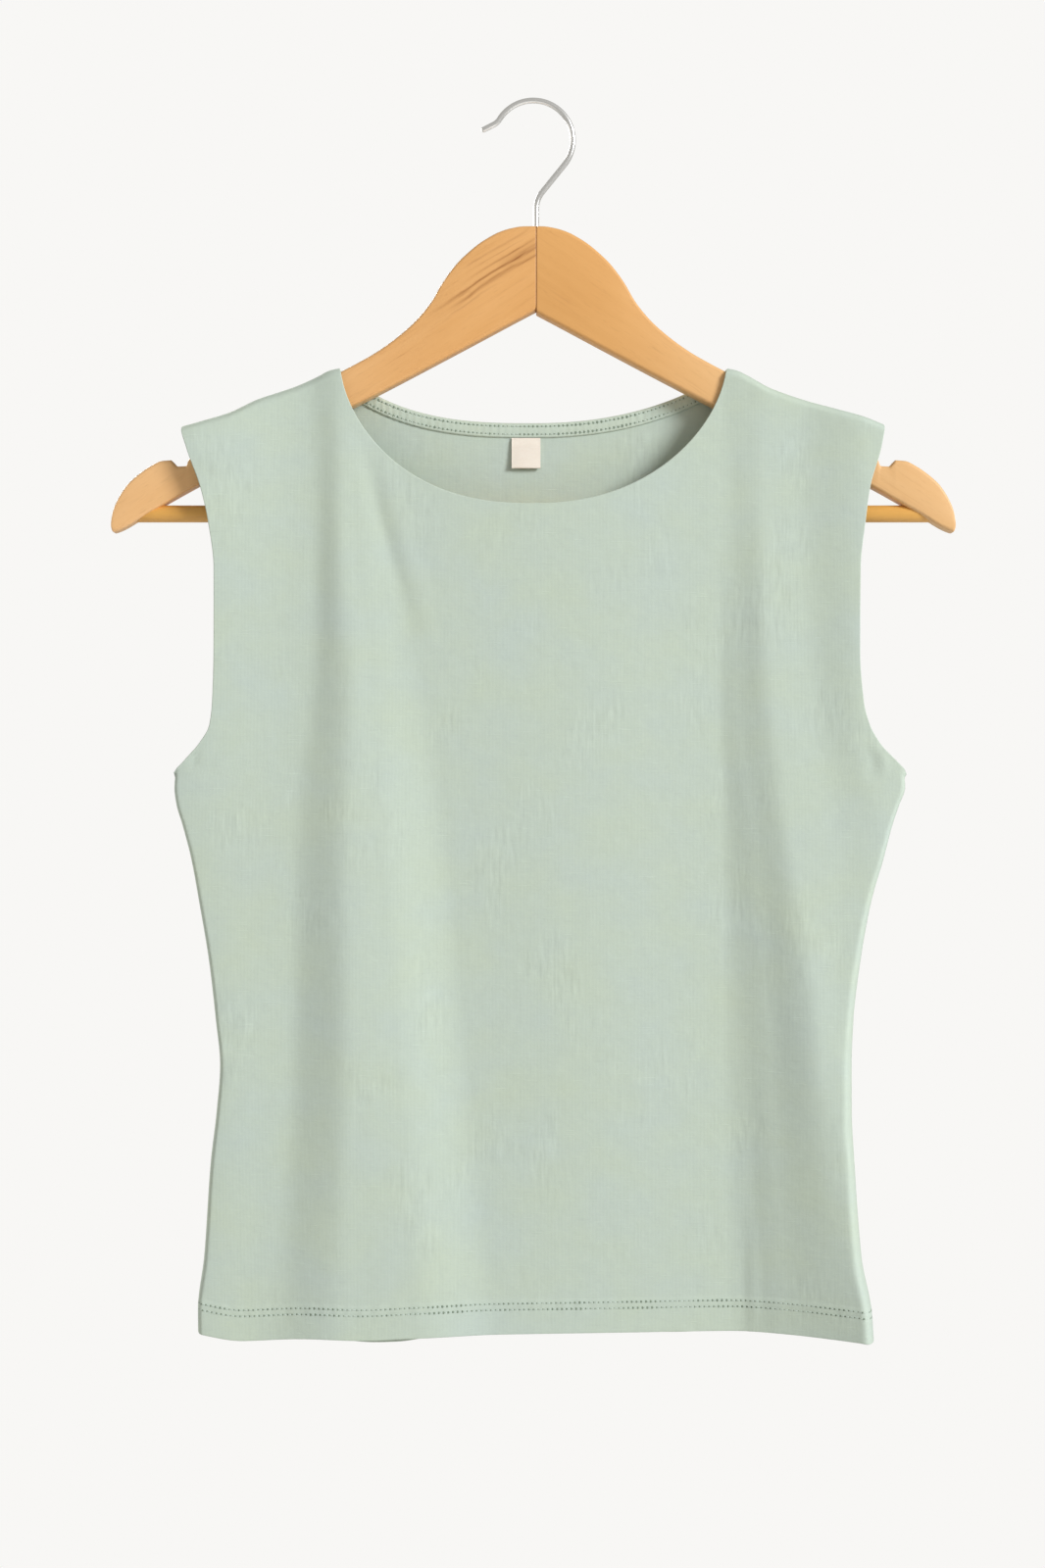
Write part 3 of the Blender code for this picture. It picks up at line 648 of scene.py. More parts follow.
# The small creases: each runs from one point to another, and its height is above the fold
# that it lies on, or below it where it is a trough.
CREASE_COLUMNS = ("x_from", "drop_from", "x_to", "drop_to", "half_width", "height")
FRONT_CREASES = table(
    CREASE_COLUMNS,
    (-111, 160, -114, 340, 4.6, -0.45),
    (-101, 165, -102, 300, 4.6, 0.35),
    (-94, 170, -62, 285, 4.6, -0.55),
    (-84, 175, -52, 290, 5.5, 0.4),
    (105, 160, 106, 300, 4.5, -0.3),
    (117, 165, 120, 330, 4.5, 0.3),
    (-122, 340, -128, 700, 8, -0.45),
    (-100, 340, -101, 700, 8, 0.45),
    (113, 480, 119, 680, 4.5, -0.25),
    (111, 585, 111.5, 665, 2.4, -0.3),
    (115.2, 585, 115.8, 665, 3.2, 0.4),
    (-178.5, 343, -176, 353, 1.2, -0.9),
    (181, 338, 184, 356, 2, 0.8),
    (176, 340, 178, 360, 2.4, -0.6),
)
BACK_CREASES = table(
    CREASE_COLUMNS,
    (-110, 170, -116, 340, 3.6, 0.8),
    (-98, 180, -99, 310, 3.2, -0.7),
    (104, 170, 110, 310, 3.6, 0.8),
    (118, 178, 120, 330, 3.6, -0.7),
    (-60, 300, -52, 520, 6, 0.6),
    (40, 240, 36, 480, 6.5, -0.6),
    (-150, 430, -142, 600, 5, -0.7),
    (150, 420, 148, 620, 5, 0.7),
)

# Each panel's cut: the way that it faces along Y, and its own tables.
FRONT = {"facing": -1, "folds": FRONT_FOLDS, "creases": FRONT_CREASES, "neck": FRONT_NECK,
         "hem": FRONT_HEM}
BACK = {"facing": 1, "folds": BACK_FOLDS, "creases": BACK_CREASES, "neck": BACK_NECK,
        "hem": BACK_HEM}

# The doubled hem, held by two rows of stitches that gather it a little. The puckers reach
# further up from the rows than down.
HEM_ROWS = (12.7, 15.9)
HEM_DEPTH = 17.4
HEM_PUFF = 0.35
HEM_STEP = 2.4
GROOVE_DEPTH = 0.04
GROOVE_HALF_WIDTH = 0.7
PUCKER_LENGTH = 8.0
PUCKER_HEIGHT = 0.15
PUCKER_UP = 4.5
PUCKER_DOWN = 3.5

# The grid of a panel: how far in from the side and down from the top its close-set lines
# lie, how many columns there are along a shoulder, and where its rows lie.
EDGE_COLUMNS = (0.0, 0.05, 0.2, 0.5, 0.9, 1.4, 2.0, 2.8, 3.7, 4.7, 5.8, 7.0, 8.5)
EDGE_ROWS = (0.0, 0.38, 0.9, 1.46, 2.2, 3.1, 4.0, 5.0)
SHOULDER_COLUMNS = 30
BODY_ROWS = (*np.arange(7.0, 459.0, 2.5), *np.arange(460.0, 480.5, 0.7))
SIDE_LENGTH = BODY_ROWS[-1]
RIM_STEPS = 5
RIM_BULGE = 0.35


def quarter_round(distance, radius):
    """Rise from 0 at an edge to 1 at the radius, along a quarter of an ellipse."""
    t = np.clip(distance / radius, 0.0, 1.0)
    return np.sqrt(1.0 - (1.0 - t) ** 2)


def smooth(t):
    """Rise from 0 to 1 with level ends."""
    t = np.clip(t, 0.0, 1.0)
    return t * t * (3 - 2 * t)


def shoulder_drop(x):
    """Drop of the shoulder seam at x, carried level across the neck."""
    left = curve_through(SHOULDERS["reach"], SHOULDERS["left"], np.abs(x))
    right = curve_through(SHOULDERS["reach"], SHOULDERS["right"], np.abs(x))
    return np.where(x < 0, left, right)


def side_x(drop, side):
    """Where the armhole edge or side seam runs: side is -1 on the left and 1 on the right."""
    column = "left" if side < 0 else "right"
    return side * curve_through(SIDES["drop"], SIDES[column], drop)


def neck_drop(x, neck):
    """Drop of a neckline at x: a rounded scoop below the neck points, whose left and right
    halves are each as full as their own exponent says."""
    across = np.clip(np.abs(x) / NECK_HALF_WIDTH, 0.0, 1.0)
    fullness = np.where(x < 0, neck["left"], neck["right"])
    return NECK_POINT_DROP + neck["depth"] * (1.0 - across ** fullness) ** neck["power"]


def neck_reach(below, neck, half):
    """Reach of one half of a neckline at a distance below the neck point, with the flick."""
    flick = NECK_FLICK * np.maximum(1.0 - below / SHOULDER_ROUND, 0.0) ** 2
    scoop = (1.0 - (below / neck["depth"]) ** (1.0 / neck["power"])) ** (1.0 / neck[half])
    return NECK_HALF_WIDTH * scoop + flick


def edge_turn(x, drop):
    """How fully the cloth has turned out of the shoulder and side seams, from 0 to 1.

    It turns within a small round below the shoulder seam. Beside a side seam it turns within
    that side's round, measured level below the underarm and from the underarm point above it.
    """
    turn = quarter_round(drop - shoulder_drop(x), SHOULDER_ROUND)
    for side, column in ((-1, "left"), (1, "right")):
        radius = curve_through(SIDE_ROUNDS["drop"], SIDE_ROUNDS[column], drop)
        beside = np.maximum(side * (side_x(np.maximum(drop, UNDERARM_DROP), side) - x), 0.0)
        above = np.maximum(UNDERARM_DROP - drop, 0.0)
        turn = turn * quarter_round(np.hypot(beside, above), radius)
    return turn


def fold_depth(folds, x, drop):
    """How far the folds carry the cloth out at x: a smooth curve through the lines, which is
    level at each crest and valley and beyond the outermost lines."""
    lines = len(folds["x_yoke"])
    at = np.empty((lines,) + x.shape)
    out = np.empty_like(at)
    for i in range(lines):
        path = np.array([folds[name][i] for name in FOLD_COLUMNS])
        at[i] = curve_through(FOLD_LEVELS, path[0::2], drop)
        out[i] = curve_through(FOLD_LEVELS, path[1::2], drop)
    step = np.diff(at, axis=0)
    rise = np.diff(out, axis=0)
    slope = np.zeros_like(out)
    slope[1:-1] = knot_slopes(rise / step)
    depth = out[0]
    for i in range(lines - 1):
        t = np.clip((x - at[i]) / step[i], 0.0, 1.0)
        lean = slope[i] * t * (1 - t) ** 2 - slope[i + 1] * t * t * (1 - t)
        depth = depth + rise[i] * smooth(t) + step[i] * lean
    return depth


def crease_height(creases, x, drop):
    """Height of the small creases: each is a bell across its line, and swells and dies away
    along it as half a wave."""
    height = np.zeros_like(x)
    for x0, drop0, x1, drop1, half_width, top in zip(*creases.values()):
        length = math.hypot(x1 - x0, drop1 - drop0)
        along = ((x - x0) * (x1 - x0) + (drop - drop0) * (drop1 - drop0)) / length ** 2
        across = ((x - x0) * (drop1 - drop0) - (drop - drop0) * (x1 - x0)) / length
        swell = np.sin(np.pi * np.clip(along, 0.0, 1.0)) ** 0.8
        height = height + top * np.exp(-(across / half_width) ** 2) * swell
    return height


def hem_height(x, above_hem):
    """Relief of the doubled hem: a low puff as deep as the hem, a groove under each row, and
    puckers of uneven length that are strongest at the rows."""
    puff = HEM_PUFF * (1.0 - smooth((above_hem - HEM_DEPTH + HEM_STEP / 2) / HEM_STEP))
    groove = sum(GROOVE_DEPTH * np.exp(-((above_hem - row) / GROOVE_HALF_WIDTH) ** 2)
                 for row in HEM_ROWS)
    phase = 2 * math.pi / PUCKER_LENGTH * x + 1.9 * np.sin(x / 19.0) + 1.3 * np.sin(x / 7.3 + 1.0)
    patch = 0.55 + 0.45 * np.sin(x / 23.0 + 1.7 * np.sin(x / 41.0))
    middle = sum(HEM_ROWS) / 2
    reach = np.where(above_hem > middle, PUCKER_UP, PUCKER_DOWN)
    near = np.exp(-((above_hem - middle) / reach) ** 2)
    return puff - groove + PUCKER_HEIGHT * patch * np.sin(phase) * near


def panel_depth(cut, x, drop):
    """Distance of a panel's outer face from the plane of the seams."""
    above_hem = curve_through(cut["hem"]["x"], cut["hem"]["drop"], x) - drop
    relief = crease_height(cut["creases"], x, drop) + hem_height(x, above_hem)
    return SEAM_PART / 2 + (fold_depth(cut["folds"], x, drop) + relief) * edge_turn(x, drop)


def neckline_points(neck):
    """Points (x, drop) along a neckline between its neck points, from left to right.

    The first and last few step over the shoulder, and the rest lie at even angles.
    """
    below = np.array(EDGE_ROWS[1:])
    left_x = -neck_reach(below, neck, "left")
    right_x = neck_reach(below, neck, "right")[::-1]
    start, end = np.arcsin([left_x[-1] / NECK_HALF_WIDTH, right_x[0] / NECK_HALF_WIDTH])
    scoop_x = NECK_HALF_WIDTH * np.sin(np.linspace(start, end, neck["columns"] + 1)[1:-1])
    corner_drop = NECK_POINT_DROP + below
    x = np.concatenate([left_x, scoop_x, right_x])
    drop = np.concatenate([corner_drop, neck_drop(scoop_x, neck), corner_drop[::-1]])
    return x, drop


def panel_top(neck):
    """Points (x, drop) along a panel's shoulders and neckline, from left to right."""
    edge = SHOULDERS["reach"][-1] - np.array(EDGE_COLUMNS)
    rest = np.linspace(edge[-1], NECK_HALF_WIDTH + NECK_FLICK, SHOULDER_COLUMNS + 1)[1:]
    reach = np.concatenate([edge, rest])
    neck_x, neck_drops = neckline_points(neck)
    x = np.concatenate([-reach, neck_x, reach[::-1]])
    drop = shoulder_drop(x)
    drop[len(reach):-len(reach)] = neck_drops
    return x, drop


def panel_outline_grid(neck, hem):
    """Level place and drop of each grid point, blended between the panel's four edges.

    The bend of each side fades into the panel as the cube of the way from the other side.
    """
    top_x, top_drop = panel_top(neck)
    down = np.array(EDGE_ROWS + BODY_ROWS) / SIDE_LENGTH
    width = hem["x"][-1] - hem["x"][0]
    strip = np.array(EDGE_COLUMNS) / width
    between = np.linspace(strip[-1], 1 - strip[-1], len(top_x) - 2 * len(strip) + 2)[1:-1]
    share = np.concatenate([strip, between, 1 - strip[::-1]])
    hem_x = hem["x"][0] + share * width
    hem_drop = curve_through(hem["x"], hem["drop"], hem_x)
    s, t = np.meshgrid(share, down)
    drop = (1 - t) * top_drop + t * hem_drop
    x = (1 - t) * top_x + t * hem_x
    for side, end, fade in ((-1, 0, (1 - s) ** 3), (1, -1, s ** 3)):
        edge_drop = (1 - down) * top_drop[end] + down * hem_drop[end]
        bend = side_x(edge_drop, side) - ((1 - down) * top_x[end] + down * hem_x[end])
        x = x + fade * bend[:, None]
    return x, drop


def grid_normals(points):
    """Unit normals of a grid of points, each the mean of its neighbouring cells."""
    across = points[:-1, 1:] - points[1:, :-1]
    down = points[1:, 1:] - points[:-1, :-1]
    padded = np.pad(unit(np.cross(across, down)), ((1, 1), (1, 1), (0, 0)))
    return unit(padded[:-1, :-1] + padded[1:, :-1] + padded[:-1, 1:] + padded[1:, 1:])


def around_grid(grid):
    """A grid's border as one loop, clockwise from its first corner."""
    return np.concatenate([grid[0, :-1], grid[:-1, -1], grid[-1, :0:-1], grid[:0:-1, 0]])


def add_shell(name, outer, inner, open_edge, facing, uv, crease=math.radians(50)):
    """Thin closed shell between two grids, with a rounded rim, whose faces share one UV map.

    The rim is half an ellipse from the outer to the inner border. It stands out sideways from
    the border, square to the cloth's normal, by the bulge times how open the border is there.
    """
    open_rim = around_grid(open_edge)
    rows, columns = outer.shape[:2]
    index = np.arange(rows * columns).reshape(rows, columns)
    quads = np.stack([index[:-1, :-1], index[1:, :-1], index[1:, 1:], index[:-1, 1:]], axis=2)
    quads = quads.reshape(-1, 4)
    rim = around_grid(index)
    outer_rim = around_grid(outer)
    inner_rim = around_grid(inner)
    count = rows * columns
    half = (outer_rim - inner_rim) / 2
    run = np.roll(outer_rim, -1, axis=0) - np.roll(outer_rim, 1, axis=0)
    away = unit(np.cross(run, half) * facing)
    strips = [rim]
    rings = []
    for k, angle in enumerate(np.linspace(0, math.pi, RIM_STEPS + 1)[1:-1]):
        rings.append((outer_rim + inner_rim) / 2 + half * math.cos(angle)
                     + away * (open_rim * RIM_BULGE * math.sin(angle))[:, None])
        strips.append(2 * count + k * len(rim) + np.arange(len(rim)))
    strips.append(rim + count)
    walls = [np.stack([a, np.roll(a, -1), np.roll(b, -1), b], axis=1)
             for a, b in zip(strips[:-1], strips[1:])]
    faces = np.concatenate([quads, quads[:, ::-1] + count, *walls])
    if facing > 0:
        faces = faces[:, ::-1]
    points = np.concatenate([outer.reshape(-1, 3), inner.reshape(-1, 3), *rings])
    uv = np.concatenate([uv.reshape(-1, 2)] * 2 + [around_grid(uv)] * len(rings))
    return add_piece(name, points, faces.tolist(), uv, crease)


CUT_LEVELS = 120
CUT_POINTS = 500


def cloth_across(cut, x, drop):
    """Length of cloth from the middle line to each point, along a level line over the folds.

    It is summed on a table of levels, whose points crowd towards both sides, and read from
    that table in between.
    """
    levels = np.linspace(drop.min(), drop.max(), CUT_LEVELS)
    share = (1 - np.cos(np.linspace(0, math.pi, CUT_POINTS))) / 2
    left = side_x(levels, -1)[:, None]
    width = side_x(levels, 1)[:, None] - left
    line_x = left + share * width
    line_y = panel_depth(cut, line_x, np.broadcast_to(levels[:, None], line_x.shape))
    steps = np.hypot(np.diff(line_x, axis=1), np.diff(line_y, axis=1))
    length = np.concatenate([np.zeros((len(levels), 1)), np.cumsum(steps, axis=1)], axis=1)
    zero = [np.interp(0.0, line_x[i], length[i]) for i in range(len(levels))]
    length -= np.array(zero)[:, None]
    row = np.clip((drop - levels[0]) / (levels[1] - levels[0]), 0, len(levels) - 1.001)
    at = np.clip((x - side_x(drop, -1)) / (side_x(drop, 1) - side_x(drop, -1)), 0.0, 1.0)
    column = np.clip(np.arccos(1 - 2 * at) / math.pi * (len(share) - 1), 0, len(share) - 1.001)
    i, j = row.astype(int), column.astype(int)
    v, u = row - i, column - j
    upper = length[i, j] * (1 - u) + length[i, j + 1] * u
    lower = length[i + 1, j] * (1 - u) + length[i + 1, j + 1] * u
    return upper * (1 - v) + lower * v


def make_panel(name, cut):
    """Front or back of the top: a thin shell of even thickness with rounded open edges, and
    a UV map that gives the cloth's own width and length."""
    facing = cut["facing"]
    x, drop = panel_outline_grid(cut["neck"], cut["hem"])
    outer = np.stack([x, facing * panel_depth(cut, x, drop), -drop], axis=2)
    normal = grid_normals(outer)
    normal *= np.sign(np.sum(normal[..., 1]) * facing)
    shoulder = len(EDGE_COLUMNS) + SHOULDER_COLUMNS
    open_edge = np.ones(x.shape)
    open_edge[0, :shoulder] = 0.0
    open_edge[0, -shoulder:] = 0.0
    normal[0, :shoulder, 1] = 0.0
    normal[0, -shoulder:, 1] = 0.0
    for column in (0, -1):
        seam = drop[:, column] >= UNDERARM_DROP
        open_edge[seam, column] = 0.0
        normal[seam, column, 1] = 0.0
    inner = outer - WALL * unit(normal)
    uv = np.stack([cloth_across(cut, x, drop), drop], axis=2)
    return add_shell(name, outer, inner, open_edge, facing, uv, crease=math.radians(70))


WALE = 0.72
COURSE = 0.56


def jersey_material(name, cool, warm):
    """Fine stockinette jersey on the cloth's own width and length.

    Each wale is a very low ridge of slanting loops, and the colour is painted a touch darker
    where that relief is low, as shade between the loops. Thick and thin yarn shows as short level
    slubs, and in patches as upright dashes along the wales. Slow noise drifts the colour
    between a cool and a warm green.
    """
    material, shader, place = open_material(name, "UV", {
        "Roughness": 0.85, "Sheen Weight": 0.22, "Sheen Roughness": 0.4,
        "Sheen Tint": linear((232, 240, 226)), "Specular IOR Level": 0.25})
    across = place.part(0) / (WALE * MM)
    beside = across.maths("PINGPONG", 0.5)
    loop = (place.part(1) / (COURSE * MM) + beside * 1.3).maths("FRACT")
    ridge = (beside * math.pi).maths("SINE")
    stitch = (loop * math.pi).maths("SINE") * 0.6 + 0.4
    knit = ridge * stitch
    slub = place.noise(75.0, 900.0, 0.0)
    thick = slub.above(0.13)
    thin = (slub * -1.0).above(0.13)
    patches = place.noise(26.0, 17.0, 0.0).between(0.02, 0.16)
    wales = place.noise(480.0, 75.0, 0.0, 1.0) * (patches * 0.8 + 0.2)
    heather = place.noise(420.0, 700.0, 0.0, 2.0, 0.7)
    drift = place.noise(24.0, 30.0, 0.0, 3.0)
    unevenness = place.noise(110.0, 150.0, 0.0)
    tone = drift * 1.8 + heather * 0.4 + 0.5
    # The knit term in this colour is painted shade: a touch darker between the loops and the wales.
    light = (1.0 + thick * 0.36 - thin * 0.34 + wales * 0.24 + heather * 0.08 + unevenness * 0.05
             + (knit - 0.4) * 0.02)
    relief = knit * 0.00003 + unevenness * 0.0002 + thick * 0.0003 + wales * 0.00012
    feed(shader, Base_Color=tone.tint(cool, warm).shaded(light), Normal=relief.bump(1.0))
    return material


jersey = jersey_material("sage_jersey", (193, 206, 197), (196, 208, 189))
front = make_panel("front", FRONT)
back = make_panel("back", BACK)
put(front, "cloth", jersey, "front_panel")
put(back, "cloth", jersey, "back_panel")


# Neck band: a narrow strip of the same jersey, laid inside the back neck over the seam and
# sewn flat along both of its edges.
BAND_WIDTH = 7.6
BAND_ROWS = (1.6, 5.8)
BAND_THICK = 1.0
BAND_EDGE = 0.35
BAND_ROUND = 1.1
BAND_OFF_BACK = 0.08
ROW_DIP = 0.14
ROW_SINK = 0.1
ROW_HALF_WIDTH = 0.45
BAND_END_REACH = 92.0
BAND_COLUMNS = 180
BAND_LINES = np.array([0.0, 0.25, 0.7, 1.2, 1.6, 2.0, 3.0, 4.6, 5.4, 5.8, 6.2, 6.9, 7.35, 7.6])


def back_inside(x, drop):
    """Where the inner face of the back lies, as a distance from the plane of the seams."""
    return panel_depth(BACK, x, drop) - WALL


def band_place(count, down):
    """Points (x, drop) a distance down from the back neckline, square to it, at as many even
    angles as the count."""
    widest = math.asin(BAND_END_REACH / NECK_HALF_WIDTH)
    x = NECK_HALF_WIDTH * np.sin(np.linspace(-widest, widest, count))
    drop = neck_drop(x, BACK_NECK)
    along = unit(np.stack([np.gradient(x), np.gradient(drop)], axis=1))
    return x - down * along[:, 1], drop + down * along[:, 0]


def make_band():
    """The band's two faces: one lies on the back, and the other stands in from it by a
    thickness that is least at the two edges and dips under each row of stitches."""
    x, drop = band_place(BAND_COLUMNS, BAND_LINES[:, None])
    near = back_inside(x, drop) - BAND_OFF_BACK
    crown = quarter_round(np.minimum(BAND_LINES, BAND_WIDTH - BAND_LINES), BAND_ROUND)
    sunk = sum(ROW_DIP * np.exp(-((BAND_LINES - row) / ROW_HALF_WIDTH) ** 2) for row in BAND_ROWS)
    thick = BAND_EDGE + (BAND_THICK - BAND_EDGE) * crown - sunk
    ripple = 1.0 + 0.12 * np.sin(x * 1.7 + 1.1 * np.sin(x / 6.0))
    far = near - thick[:, None] * ripple
    outer = np.stack([x, far, -drop], axis=2)
    inner = np.stack([x, near, -drop], axis=2)
    uv = np.stack([x, drop], axis=2)
    return add_shell("back_neck_band", outer, inner, np.zeros(x.shape), -1, uv)


band_jersey = jersey_material("band_jersey", (196, 210, 198), (200, 210, 190))
band = make_band()
put(band, "band_cloth", band_jersey, "neck_band")


# Size label: a short cream woven tape with finished side edges, folded double. Both its ends
# are caught under the band, and it stands off the back a little.
LABEL_WIDTH = 15.3
LABEL_HEIGHT = 16.3
LABEL_MIDDLE_X = -3.8
LABEL_BELOW_BAND = 0.1
LABEL_OFF_BACK = 0.9
LABEL_LIFT = 1.6
LABEL_BOW = 0.35
LABEL_PINCH = 4.0
LABEL_PINCHED = 0.15
TAPE = 0.32
TAPE_FOLD = 0.5
TAPE_ROWS = 24
TAPE_COLUMNS = 17
WARP_PITCH = 0.22
WEFT_PITCH = 0.3


def make_label():
    """A tape carried along a U: down the far layer, round the fold and up the near layer.

    Its middle line stands off the back by more towards the fold, and the whole label bows a
    little across its width. The two layers are pinched together next to the band.
    """
    top = NECK_POINT_DROP + BACK_NECK["depth"] + BAND_WIDTH + LABEL_BELOW_BAND
    straight = np.linspace(0.0, LABEL_HEIGHT - TAPE_FOLD, TAPE_ROWS)
    bend = np.linspace(0, math.pi, 9)[1:-1]
    down = np.concatenate([straight, straight[-1] + TAPE_FOLD * np.sin(bend), straight[::-1]])
    near_or_far = np.concatenate([np.ones(TAPE_ROWS), np.cos(bend), -np.ones(TAPE_ROWS)])
    path = np.stack([down, near_or_far * TAPE_FOLD], axis=1)
    run = unit(np.gradient(path, axis=0))
    across = LABEL_WIDTH / 2 * np.linspace(-1, 1, TAPE_COLUMNS)
    sheets = []
    for face in (0.5, -0.5):
        layer = path + face * TAPE * np.stack([-run[:, 1], run[:, 0]], axis=1)
        x, level = np.broadcast_arrays(LABEL_MIDDLE_X + across, top + layer[:, :1])
        lift = LABEL_LIFT * (layer[:, :1] / LABEL_HEIGHT) ** 2
        bow = LABEL_BOW * (across / LABEL_WIDTH * 2) ** 2 * layer[:, :1] / LABEL_HEIGHT
        pinch = smooth(layer[:, :1] / LABEL_PINCH) * (1 - LABEL_PINCHED) + LABEL_PINCHED
        y = back_inside(x, level) - LABEL_OFF_BACK - lift + bow + layer[:, 1:] * pinch
        sheets.append(np.stack([x, y, -level], axis=2))
    length = np.cumsum(np.concatenate([[0], np.hypot(*np.diff(path, axis=0).T)]))
    uv = np.stack(np.broadcast_arrays(across, length[:, None]), axis=2)
    return add_shell("size_tape", *sheets, np.zeros(x.shape), 1, uv, crease=math.radians(60))


tape, shader, place = open_material("cream_tape", "UV", {
    "Sheen Weight": 0.1, "Specular IOR Level": 0.4})
warp = (place.part(0) / (WARP_PITCH * MM)).maths("PINGPONG", 0.5)
weft = (place.part(1) / (WEFT_PITCH * MM) + warp * 0.5).maths("PINGPONG", 0.5)
weave = (warp * math.pi).maths("SINE") * (weft * math.pi).maths("SINE")
# The side edges are a denser selvedge, smoother and raised. In the colour they are also a little
# lighter: a painted highlight where an edge catches the light.
selvedge_and_highlight = (place.part(0) / (LABEL_WIDTH / 2 * MM)).maths("ABSOLUTE").between(0.9, 0.97)
mottle = place.noise(260.0, 900.0, 0.0)
feed(shader,
     Base_Color=(mottle + 0.5).tint((245, 232, 217), (250, 241, 228)).shaded(
         0.98 + weave * 0.03 + selvedge_and_highlight * 0.04),
     Roughness=0.62 - selvedge_and_highlight * 0.12,
     Normal=(weave * 0.00004 + selvedge_and_highlight * 0.00005).bump(1.0))
put(make_label(), "label_tape", tape, "size_label")


# Stitches: fine thread of the cloth's colour, two rows round the hem and two rows round the
# back neck, on the band inside and on the back outside. At each end of a stitch the needle has
# drawn the cloth into a small pit, whose shade is painted on a dark plug.
THREAD_RADIUS = 0.17
STITCH_GAP = 0.35
STITCH_RISE = 1.3
STITCH_DIP = 0.1
STITCH_RINGS = 5
STITCH_SIDES = 6
PIT_DEEP = 0.15
PIT_PROUD = 0.10
PIT_LENGTH = 0.7
HEM_PITCH = 2.5
HEM_PIT = 0.6
HEM_SIDE_DROP = 640.0
FROM_SIDE_SEAM = 1.5
NECK_PITCH = 2.28
NECK_PIT = 0.68
HEM_POINTS = 1200
NECK_POINTS = 900


def along_path(path, away, at):
    """Places and unit ways out of the cloth at distances along a path."""
    steps = np.linalg.norm(np.diff(path, axis=0), axis=1)
    length = np.concatenate([[0], np.cumsum(steps)])
    centre = np.stack([np.interp(at, length, path[:, k]) for k in range(3)], axis=-1)
    out = np.stack([np.interp(at, length, away[:, k]) for k in range(3)], axis=-1)
    return centre, unit(out)


def stitch_starts(path, pitch):
    """Distances along a path at which its stitches start, with the same rest at both ends."""
    length = np.sum(np.linalg.norm(np.diff(path, axis=0), axis=1))
    count = int(length / pitch)
    return np.arange(count) * pitch + (length - count * pitch) / 2


def stitch_row(path, away, pitch):
    """Stitches along a path: even steps of its length, each a short thread that rises out of
    the cloth, runs along it and dips back in. Its rings shrink to nothing at both ends."""
    t = np.linspace(0, 1, STITCH_RINGS)
    at = stitch_starts(path, pitch)[:, None] + pitch * (STITCH_GAP / 2 + (1 - STITCH_GAP) * t)
    centre, out = along_path(path, away, at)
    side = np.cross(unit(np.gradient(centre, axis=1)), out)
    lift = THREAD_RADIUS * (STITCH_RISE * np.sin(np.pi * t) - STITCH_DIP)
    centre = centre + out * lift[:, None]
    radius = THREAD_RADIUS * np.sqrt(np.clip(1 - (2 * t - 1) ** 4, 0.04, 1))
    angle = full_turn(STITCH_SIDES)
    ring = (np.cos(angle)[:, None] * side[:, :, None] + np.sin(angle)[:, None] * out[:, :, None])
    return centre[:, :, None] + radius[:, None, None] * ring


def pit_row(path, away, pitch, radius):
    """Needle pits along a path, one between each two stitches: each is a low plug with six
    sides, let into the cloth so that only its top shows, dark with the pit's painted shade. It is
    wider across the row than along it, and the sizes are uneven, from pit to pit and over some
    centimetres."""
    at = stitch_starts(path, pitch)
    centre, out = along_path(path, away, at)
    run = unit(np.gradient(centre, axis=0))[:, None]
    side = np.cross(run, out[:, None])
    angle = full_turn(STITCH_SIDES)[:, None]
    ring = np.cos(angle) * side + PIT_LENGTH * np.sin(angle) * run
    patchy = np.sin(at * 0.11 + 2.0 * np.sin(at * 0.027))
    size = radius * (0.95 + 0.25 * np.sin(at * 2.7 + 1.3 * np.sin(at * 0.31)) + 0.2 * patchy)
    ring = ring * size[:, None, None]
    low, high = ((centre + out * lift)[:, None] + ring for lift in (-PIT_DEEP, PIT_PROUD))
    return np.stack([low, high], axis=1)


def join_rows(name, rows):
    """All the stitches or pits of some rows as one mesh."""
    points = np.concatenate(rows)
    one = tube_faces(*points.shape[1:3], turned=points.shape[1] == 2)
    size = points.shape[1] * points.shape[2]
    faces = []
    for k in range(len(points)):
        faces += [[corner + k * size for corner in face] for face in one]
    return add_piece(name, points, faces, crease=math.radians(80))


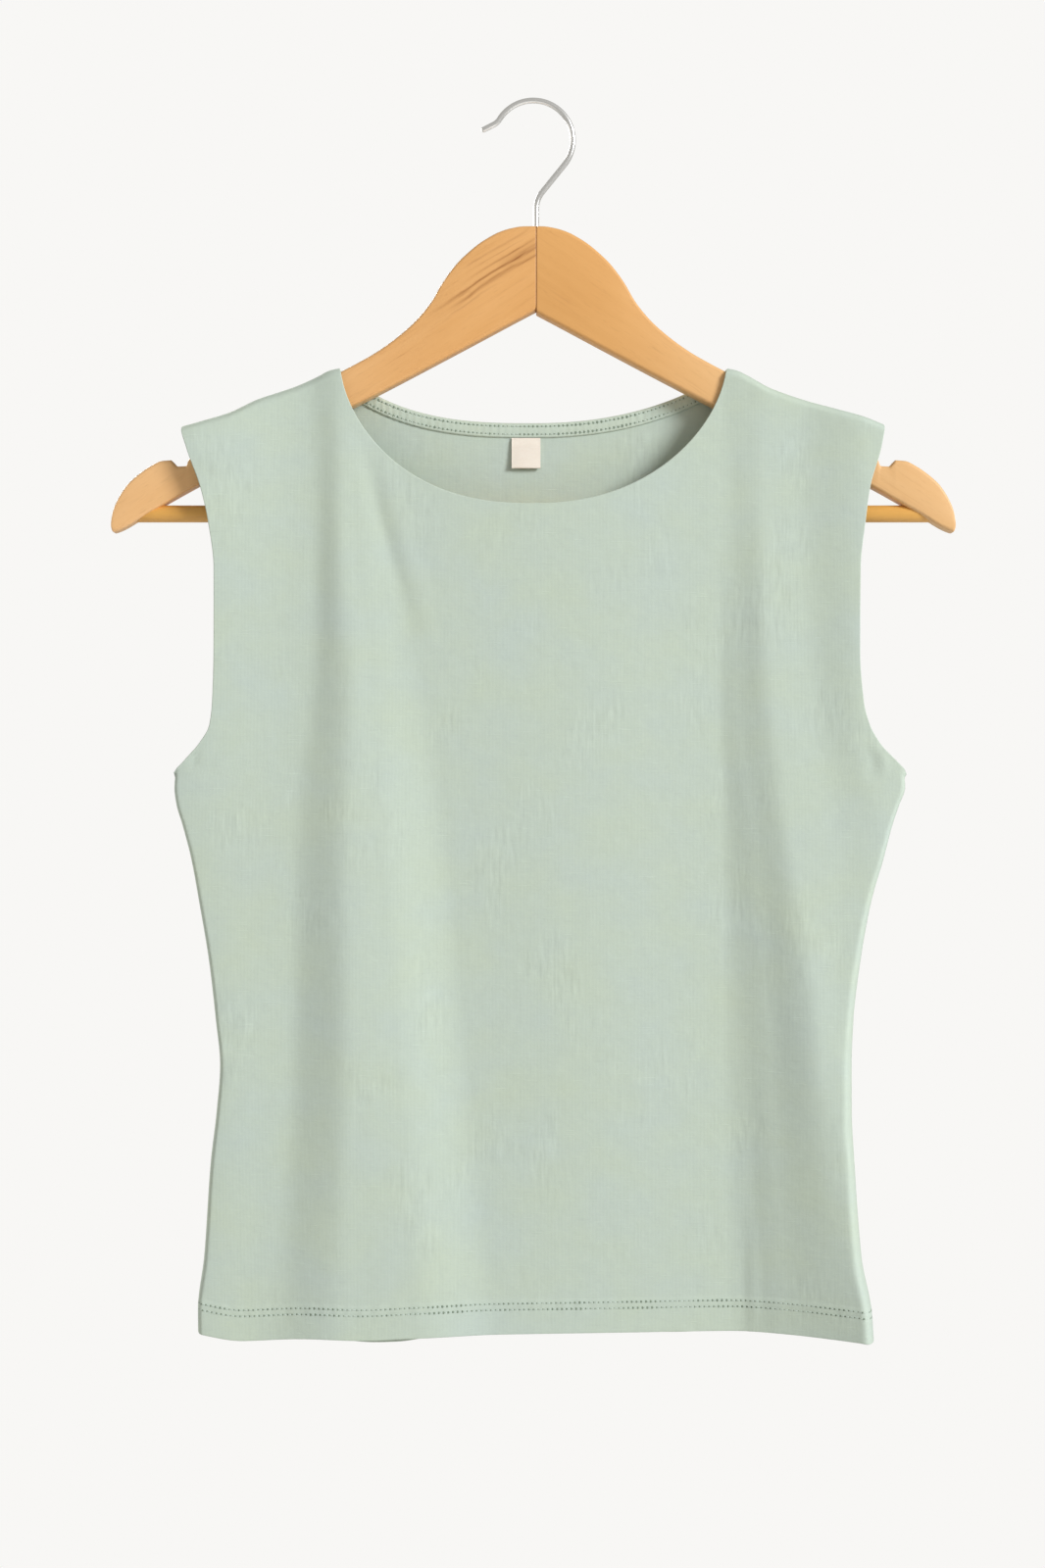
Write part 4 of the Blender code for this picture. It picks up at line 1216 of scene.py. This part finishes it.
def hem_path(cut, row):
    """A stitch row's path on a panel, a distance above its hem, and the way out of the cloth."""
    facing, hem = cut["facing"], cut["hem"]
    x = np.linspace(side_x(HEM_SIDE_DROP, -1) + FROM_SIDE_SEAM,
                    side_x(HEM_SIDE_DROP, 1) - FROM_SIDE_SEAM, HEM_POINTS)
    drop = curve_through(hem["x"], hem["drop"], x) - row
    y = facing * panel_depth(cut, x, drop)
    away = np.stack([np.gradient(y, x) * -facing, np.ones(len(x)), np.zeros(len(x))], axis=1)
    return np.stack([x, y, -drop], axis=1), away * facing


def neck_path(row, outside):
    """A stitch row's path along the back neck, on the band inside or on the back outside."""
    x, drop = band_place(NECK_POINTS, row)
    if outside:
        y = panel_depth(BACK, x, drop)
    else:
        y = back_inside(x, drop) - BAND_OFF_BACK - (BAND_THICK - ROW_SINK)
    away = np.tile([0.0, 1.0 if outside else -1.0, 0.0], (len(x), 1))
    return np.stack([x, y, -drop], axis=1), away


thread, shader, place = open_material("sage_thread", "Object", {"Sheen Weight": 0.15})
ply = place.noise(2500.0, 2500.0, 2500.0, 1.0)
feed(shader, Base_Color=(ply + 0.5).tint((200, 214, 206), (214, 226, 218)),
     Roughness=0.7 + ply * 0.1, Normal=ply.bump(0.00004))
# The pits' dark colour is painted shade: darker where the noise is low, lighter where it is high.
pit_shade, shader, place = open_material("needle_pit_shade", "Object", {"Specular IOR Level": 0.1})
pit_shade_noise = place.noise(300.0, 300.0, 300.0, 1.0)
feed(shader, Base_Color=(pit_shade_noise * 1.6 + 0.5).tint((110, 124, 108), (152, 166, 148)),
     Roughness=0.9 + pit_shade_noise * 0.05)
stitched = {
    "front_hem": ("cloth", HEM_PITCH, HEM_PIT, [hem_path(FRONT, row) for row in HEM_ROWS]),
    "back_hem": ("cloth", HEM_PITCH, HEM_PIT, [hem_path(BACK, row) for row in HEM_ROWS]),
    "band": ("band_cloth", NECK_PITCH, NECK_PIT, [neck_path(row, False) for row in BAND_ROWS]),
    "back_neck": ("cloth", NECK_PITCH, NECK_PIT, [neck_path(row, True) for row in BAND_ROWS]),
}
for name, (slot, pitch, pit, paths) in stitched.items():
    stitches = join_rows(name + "_stitches", [stitch_row(*path, pitch) for path in paths])
    put(stitches, slot, thread)
    # Each row's dark plugs carry the painted shade of its needle pits.
    pits = join_rows(name + "_pit_shade", [pit_row(*path, pitch, pit) for path in paths])
    put(pits, slot, pit_shade)
